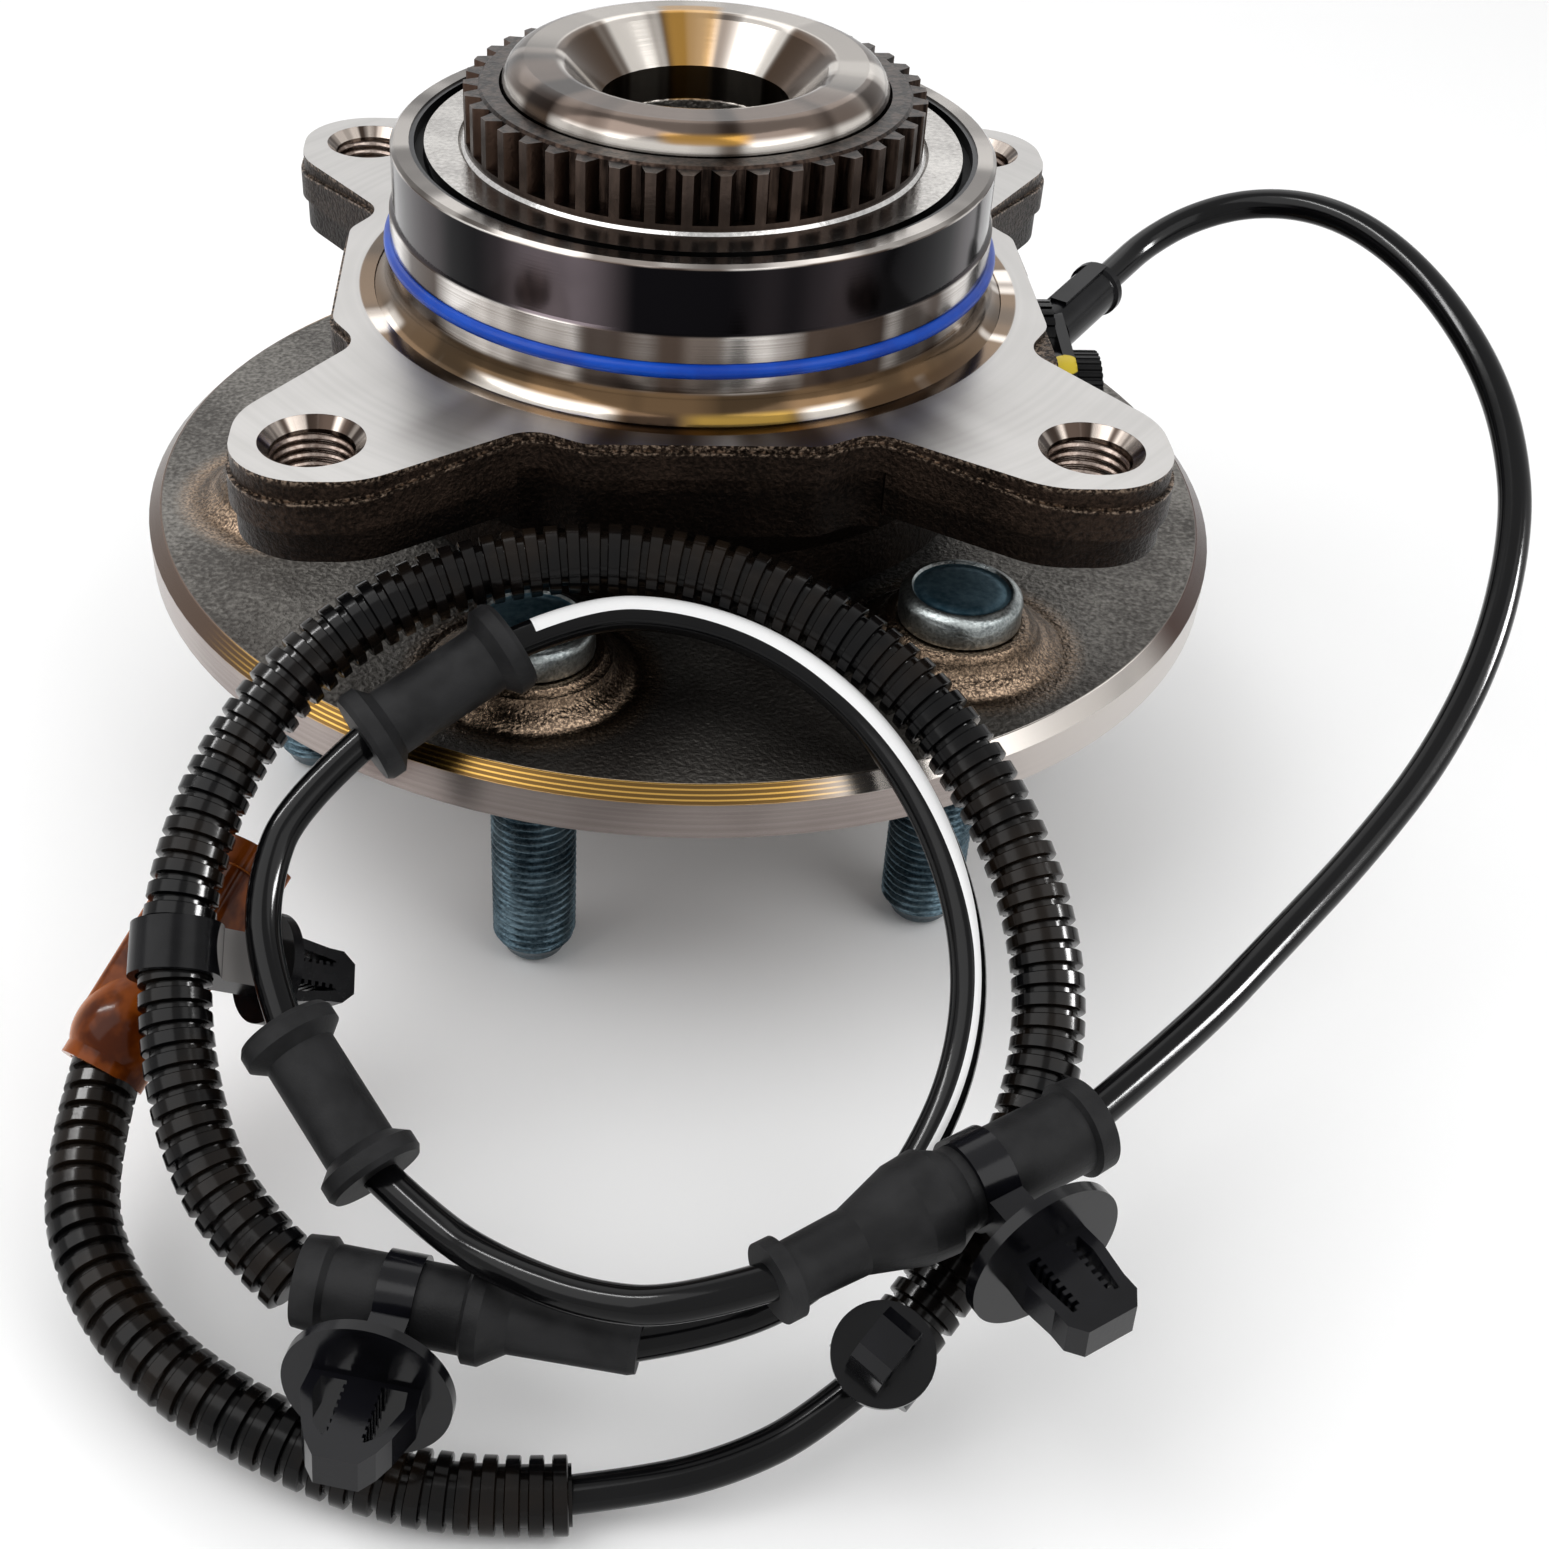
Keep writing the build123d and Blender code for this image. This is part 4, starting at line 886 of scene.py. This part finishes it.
def open_end(bm, row, flip):
    """The end of the wall, down to a closed bore."""
    centre = sum((v.co for v in row), Vector()) / len(row)
    inner = [bm.verts.new(centre + (v.co - centre) * BORE_SHARE) for v in row]
    grid_faces(bm, [row, inner])
    bm.faces.new(inner if flip else list(reversed(inner)))


def conduit(name):
    """A slit corrugated tube: flat-topped ribs on a thin wall, with the slit's edges along it."""
    raw = followed(name, ROUTES[name])
    total = line_length(raw)
    count = round(total / RIB_PITCH)
    around = frames(respaced(raw, total / count / GUIDES_PER_RIB), FIRST_SIDE)
    stations = [((rib + share) / count, high) for rib in range(count) for share, high in RIB_SHAPE]
    stations.append((1.0, 0))
    bm = bmesh.new()
    rows = []
    for share, high in stations:
        centre, _, side, other = around[round(share * (len(around) - 1))]
        row = []
        for i in range(CONDUIT_SIDES):
            a = 2 * math.pi * i / CONDUIT_SIDES
            out = side * math.cos(a) + other * math.sin(a)
            row.append(bm.verts.new(centre + out * rib_radius(high, a)))
        rows.append(row)
    grid_faces(bm, rows)
    open_end(bm, rows[0], True)
    open_end(bm, rows[-1], False)
    obj = add_mesh(name + "_tube", bm, "conduit", "housing")
    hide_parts(name)
    path = respaced(raw, PATH_STEP)


lead("lead_sensor")
lead("lead_lower")
lead("lead_left")
loop_line = lead("lead_loop")
conduit("conduit_upper")
lead("lead_link")
conduit("conduit_lower")


# ------------------------------------------------------------------ blank white stripe along the loop
STRIPE_SPAN = (0.03, 0.86)  # as shares of the loop's length
STRIPE_HALF = 44  # degrees round the lead, to each side of the stripe's middle
STRIPE_NARROWS = 32
NARROWING = (0.3, 0.55)  # shares of the length between which the stripe narrows
STRIPE_LIFT = 0.06 * MM
STRIPE_SIDES = 3  # facets to each side of its middle
STRIPE_STEP = 0.8 * MM
OUTWARD = 9.0  # how much the stripe leans outward, against up
LOOP_MIDDLE = Vector((-0.012, -0.115, 0.05))  # the stripe leans away from it


def stripe_direction(centre, way):
    """Square to the lead: up, and outward from the middle of the loop."""
    toward = (Vector((0.0, -0.35, 1.0)) + (centre - LOOP_MIDDLE) * OUTWARD).normalized()
    return (toward - way * toward.dot(way)).normalized()


def stripe():
    marks = frames(respaced(loop_line, STRIPE_STEP), Vector((0, 0, 1)))
    first, last = STRIPE_SPAN
    begins, ends = NARROWING
    bm = bmesh.new()
    rows = []
    for i, (centre, way, _, _) in enumerate(marks):
        share = i / (len(marks) - 1)
        if not first < share < last:
            continue
        toward = stripe_direction(centre, way)
        across = way.cross(toward)
        narrowed = min(max((share - begins) / (ends - begins), 0), 1)
        half = math.radians(STRIPE_HALF - STRIPE_NARROWS * narrowed)
        row = []
        for k in range(-STRIPE_SIDES, STRIPE_SIDES + 1):
            a = half * k / STRIPE_SIDES
            out = toward * math.cos(a) + across * math.sin(a)
            row.append(bm.verts.new(centre + out * (LEAD / 2 + STRIPE_LIFT)))
        rows.append(row)
    grid_faces(bm, rows, around=False)
    add_mesh("loop_stripe", bm, "label", "housing")


stripe()


# ------------------------------------------------------------------ wheel studs with their threads
THREAD_PITCH = 1.5 * MM
THREAD_DEPTH = 0.92 * MM
THREAD_PROFILE = [0, 0.12, 0.5, 0.88, 1.0, 0.88, 0.5, 0.12]  # depth at even steps along one pitch
THREAD_TURNS = 36  # sides of a thread
STUD_R = 7.0 * MM
STUD_TIP = 2.0 * MM  # the thread's lower end
STUD_TAPER = 2.4 * MM
TAPER_DEPTH = 1.7 * MM
THREAD_TOP = 44 * MM
STUD_TOP = 66.4 * MM
TIP_RINGS = ((5.0, 1.1), (4.4, 0.4), (3.4, 0.05), (1.5, 0.0))  # radius and height in mm
SHANK_RINGS = ((6.9, 44.6), (6.9, 47.6), (7.3, 48.0), (7.3, 60.7))
HEAD_SIDE = ((7.0, 60.75), (9.2, 60.8), (9.62, 61.1), (9.7, 61.5))
# radius in mm, and depth in mm below the stud's top: a rounded edge, a groove and a blue disc
HEAD_TOP = (
    (9.7, 1.9),
    (9.55, 1.2),
    (9.0, 0.55),
    (8.2, 0.15),
    (7.9, 0.12),
    (7.6, 0.5),
    (7.2, 0.62),
    (6.7, 0.5),
    (6.2, 0.28),
    (5.2, 0.2),
    (3.0, 0.18),
    (0, 0.18),
)
DISC_R = 7.7 * MM
HEAD_TURNS = 48
TURN_BETWEEN = 1.3  # in radians, so that no two threads stop at the same turn
DISC_DEPTH = 0.9 * MM


def threaded(bm, outer, depth, low, high, place, taper=0.0):
    """A helical thread between two heights, with its profile stepped along it; taper narrows its start."""
    steps = len(THREAD_PROFILE)
    count = int((high - low) / THREAD_PITCH * steps)
    rows = []
    for k in range(count + 1):
        z = low + (high - low) * k / count
        row = []
        for i in range(THREAD_TURNS):
            a = 2 * math.pi * i / THREAD_TURNS
            position = ((z - low) / THREAD_PITCH - i / THREAD_TURNS) % 1.0 * steps
            base = int(position) % steps
            share = position - int(position)
            groove = THREAD_PROFILE[base] * (1 - share) + THREAD_PROFILE[(base + 1) % steps] * share
            radius = outer - depth * groove
            if z - low < taper:
                radius = min(radius, outer - TAPER_DEPTH * (1 - (z - low) / taper))
            row.append(bm.verts.new(place @ Vector((radius * math.cos(a), radius * math.sin(a), z))))
        rows.append(row)
    grid_faces(bm, rows)
    return rows


def stud_thread(name, place):
    """The threaded end with its rounded tip, and the plain shank above it."""
    bm = bmesh.new()
    rows = threaded(bm, STUD_R, THREAD_DEPTH, STUD_TIP, THREAD_TOP, place, STUD_TAPER)
    tip = [circle(bm, radius * MM, height * MM, THREAD_TURNS, place) for radius, height in TIP_RINGS]
    grid_faces(bm, [*reversed(tip), rows[0]])
    bm.faces.new(tip[-1])
    shank = [circle(bm, radius * MM, height * MM, THREAD_TURNS, place) for radius, height in SHANK_RINGS]
    grid_faces(bm, [rows[-1], *shank])
    return add_mesh(name, bm, "zinc_thread", "hub")


def stud_head(name, place):
    """The turned head, with its silver edge and blue disc."""
    bm = bmesh.new()
    profile = [(radius * MM, height * MM) for radius, height in HEAD_SIDE]
    profile += [(radius * MM, STUD_TOP - depth * MM) for radius, depth in HEAD_TOP]
    lathe(bm, profile, HEAD_TURNS, place)
    top = add_mesh(name, bm, "zinc_side", "hub")
    top.data.materials.append(FINISH["zinc_blue"])
    middle = place.translation
    for face in top.data.polygons:
        away = math.hypot(face.center.x - middle.x, face.center.y - middle.y)
        if face.center.z > STUD_TOP - DISC_DEPTH and away < DISC_R:
            face.material_index = 1


def studs():
    for number, turn in enumerate(STUDS):
        place = Matrix.Translation((STUD_CIRCLE * math.cos(turn), STUD_CIRCLE * math.sin(turn), 0))
        place = place @ Matrix.Rotation(number * TURN_BETWEEN, 4, "Z")
        thread = stud_thread(f"stud_thread_{number}", place)
        stud_head(f"stud_head_{number}", place)
        if number == 0:
            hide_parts("wheel_studs")


studs()


# ------------------------------------------------------------------ threads in the ears
EAR_THREAD_R = 6.31 * MM
EAR_THREAD_DEPTH = 0.42 * MM
EAR_THREAD_SPAN = (79.9 * MM, 91.0 * MM)


def ear_threads():
    for x in (-EAR, EAR):
        for y in (-EAR, EAR):
            bm = bmesh.new()
            place = Matrix.Translation((x, y, 0))
            threaded(bm, EAR_THREAD_R, EAR_THREAD_DEPTH, *EAR_THREAD_SPAN, place)
            for face in bm.faces:
                face.normal_flip()
            name = "ear_thread_" + ("r" if x > 0 else "l") + ("b" if y > 0 else "f")
            add_piece(name, bm, "thread", "housing")


ear_threads()


# ------------------------------------------------------------------ floor, light and background
FLOOR_HALF = 3.0
FLOOR_DROP = 0.5 * MM  # keeps the floor clear of what stands on it
TARGET = (0, 0, 0.08)
HARNESS = (0, -0.1, 0.04)
# each lamp's name, place, width, height and watts
LAMPS = (
    ("key", (-0.55, -0.25, 0.75), 0.7, 0.9, 4.6),
    ("fill", (0.6, -0.5, 0.7), 0.7, 0.8, 3.2),
    ("back", (-0.1, 0.75, 0.75), 1.2, 0.6, 2.2),
)
# narrow lamps that give the black plastics their highlights, and that nothing else receives
STRIPS = (
    ("strip_right", (0.8, -0.15, 0.42), 0.14, 0.3, 14.0),
    ("strip_left", (-0.6, 0.1, 0.8), 0.05, 0.5, 5.0),
)
PLASTICS = ("jacket", "conduit", "sensor", "sensor_marked", "amber")
LIT_STRENGTH = 0.85
LIT_BELOW = (0.02, 0.02, 0.022, 1)
WHITE = (1, 1, 1, 1)


def floor():
    bm = bmesh.new()
    corners = ((-1, -1), (1, -1), (1, 1), (-1, 1))
    bm.faces.new([bm.verts.new((x * FLOOR_HALF, y * FLOOR_HALF, -FLOOR_DROP)) for x, y in corners])
    mesh = bpy.data.meshes.new("floor")
    bm.to_mesh(mesh)
    bm.free()
    s = Shade("floor_finish", Roughness=0.9)
    s.set(Base_Color=s.mix(s.noise(0.4, 2), rgb("fbfbfb"), rgb("ffffff")))
    mesh.materials.append(s.mat)
    obj = bpy.data.objects.new("floor", mesh)
    bpy.context.scene.collection.objects.link(obj)


def area(name, place, target, width, height, watts):
    data = bpy.data.lights.new(name, "AREA")
    data.shape = "RECTANGLE"
    data.size = width
    data.size_y = height
    data.energy = watts
    light = bpy.data.objects.new(name, data)
    way = Vector(target) - Vector(place)
    light.matrix_world = Matrix.Translation(place) @ way.to_track_quat("-Z", "Y").to_matrix().to_4x4()
    bpy.context.scene.collection.objects.link(light)
    return light


def lamps():
    for name, place, width, height, watts in LAMPS:
        area(name, place, TARGET, width, height, watts)
    receivers = bpy.data.collections.new("glossy_pieces")
    plastics = {FINISH[name] for name in PLASTICS}
    for piece in bpy.context.scene.objects:
        if piece.type in ("MESH", "CURVE") and plastics & set(piece.data.materials):
            receivers.objects.link(piece)
    for name, place, width, height, watts in STRIPS:
        strip = area(name, place, HARNESS, width, height, watts)
        strip.visible_diffuse = False
        strip.light_linking.receiver_collection = receivers


def background():
    """White to the camera, to reflections and to transmission; a studio, pale above, lights the rest."""
    world = bpy.data.worlds.new("studio")
    bpy.context.scene.world = world
    world.use_nodes = True
    nodes = world.node_tree.nodes
    link = world.node_tree.links.new
    nodes.clear()
    shown = nodes.new("ShaderNodeBackground")
    shown.inputs["Color"].default_value = WHITE
    shown.inputs["Strength"].default_value = 1.0
    lit = nodes.new("ShaderNodeBackground")
    lit.inputs["Strength"].default_value = LIT_STRENGTH
    path = nodes.new("ShaderNodeLightPath")
    seen = path.outputs["Is Camera Ray"]
    for ray in ("Is Glossy Ray", "Is Transmission Ray"):
        either = nodes.new("ShaderNodeMath")
        either.operation = "MAXIMUM"
        link(seen, either.inputs[0])
        link(path.outputs[ray], either.inputs[1])
        seen = either.outputs[0]
    mix = nodes.new("ShaderNodeMixShader")
    link(seen, mix.inputs[0])
    link(lit.outputs[0], mix.inputs[1])
    link(shown.outputs[0], mix.inputs[2])
    link(mix.outputs[0], nodes.new("ShaderNodeOutputWorld").inputs["Surface"])
    split = nodes.new("ShaderNodeSeparateXYZ")
    link(nodes.new("ShaderNodeTexCoord").outputs["Generated"], split.inputs[0])
    ramp = nodes.new("ShaderNodeValToRGB")
    ramp.color_ramp.elements[0].color = LIT_BELOW
    ramp.color_ramp.elements[1].color = WHITE
    link(split.outputs["Z"], ramp.inputs[0])
    link(ramp.outputs[0], lit.inputs["Color"])


floor()
background()
lamps()
bpy.context.scene.view_settings.view_transform = "Standard"
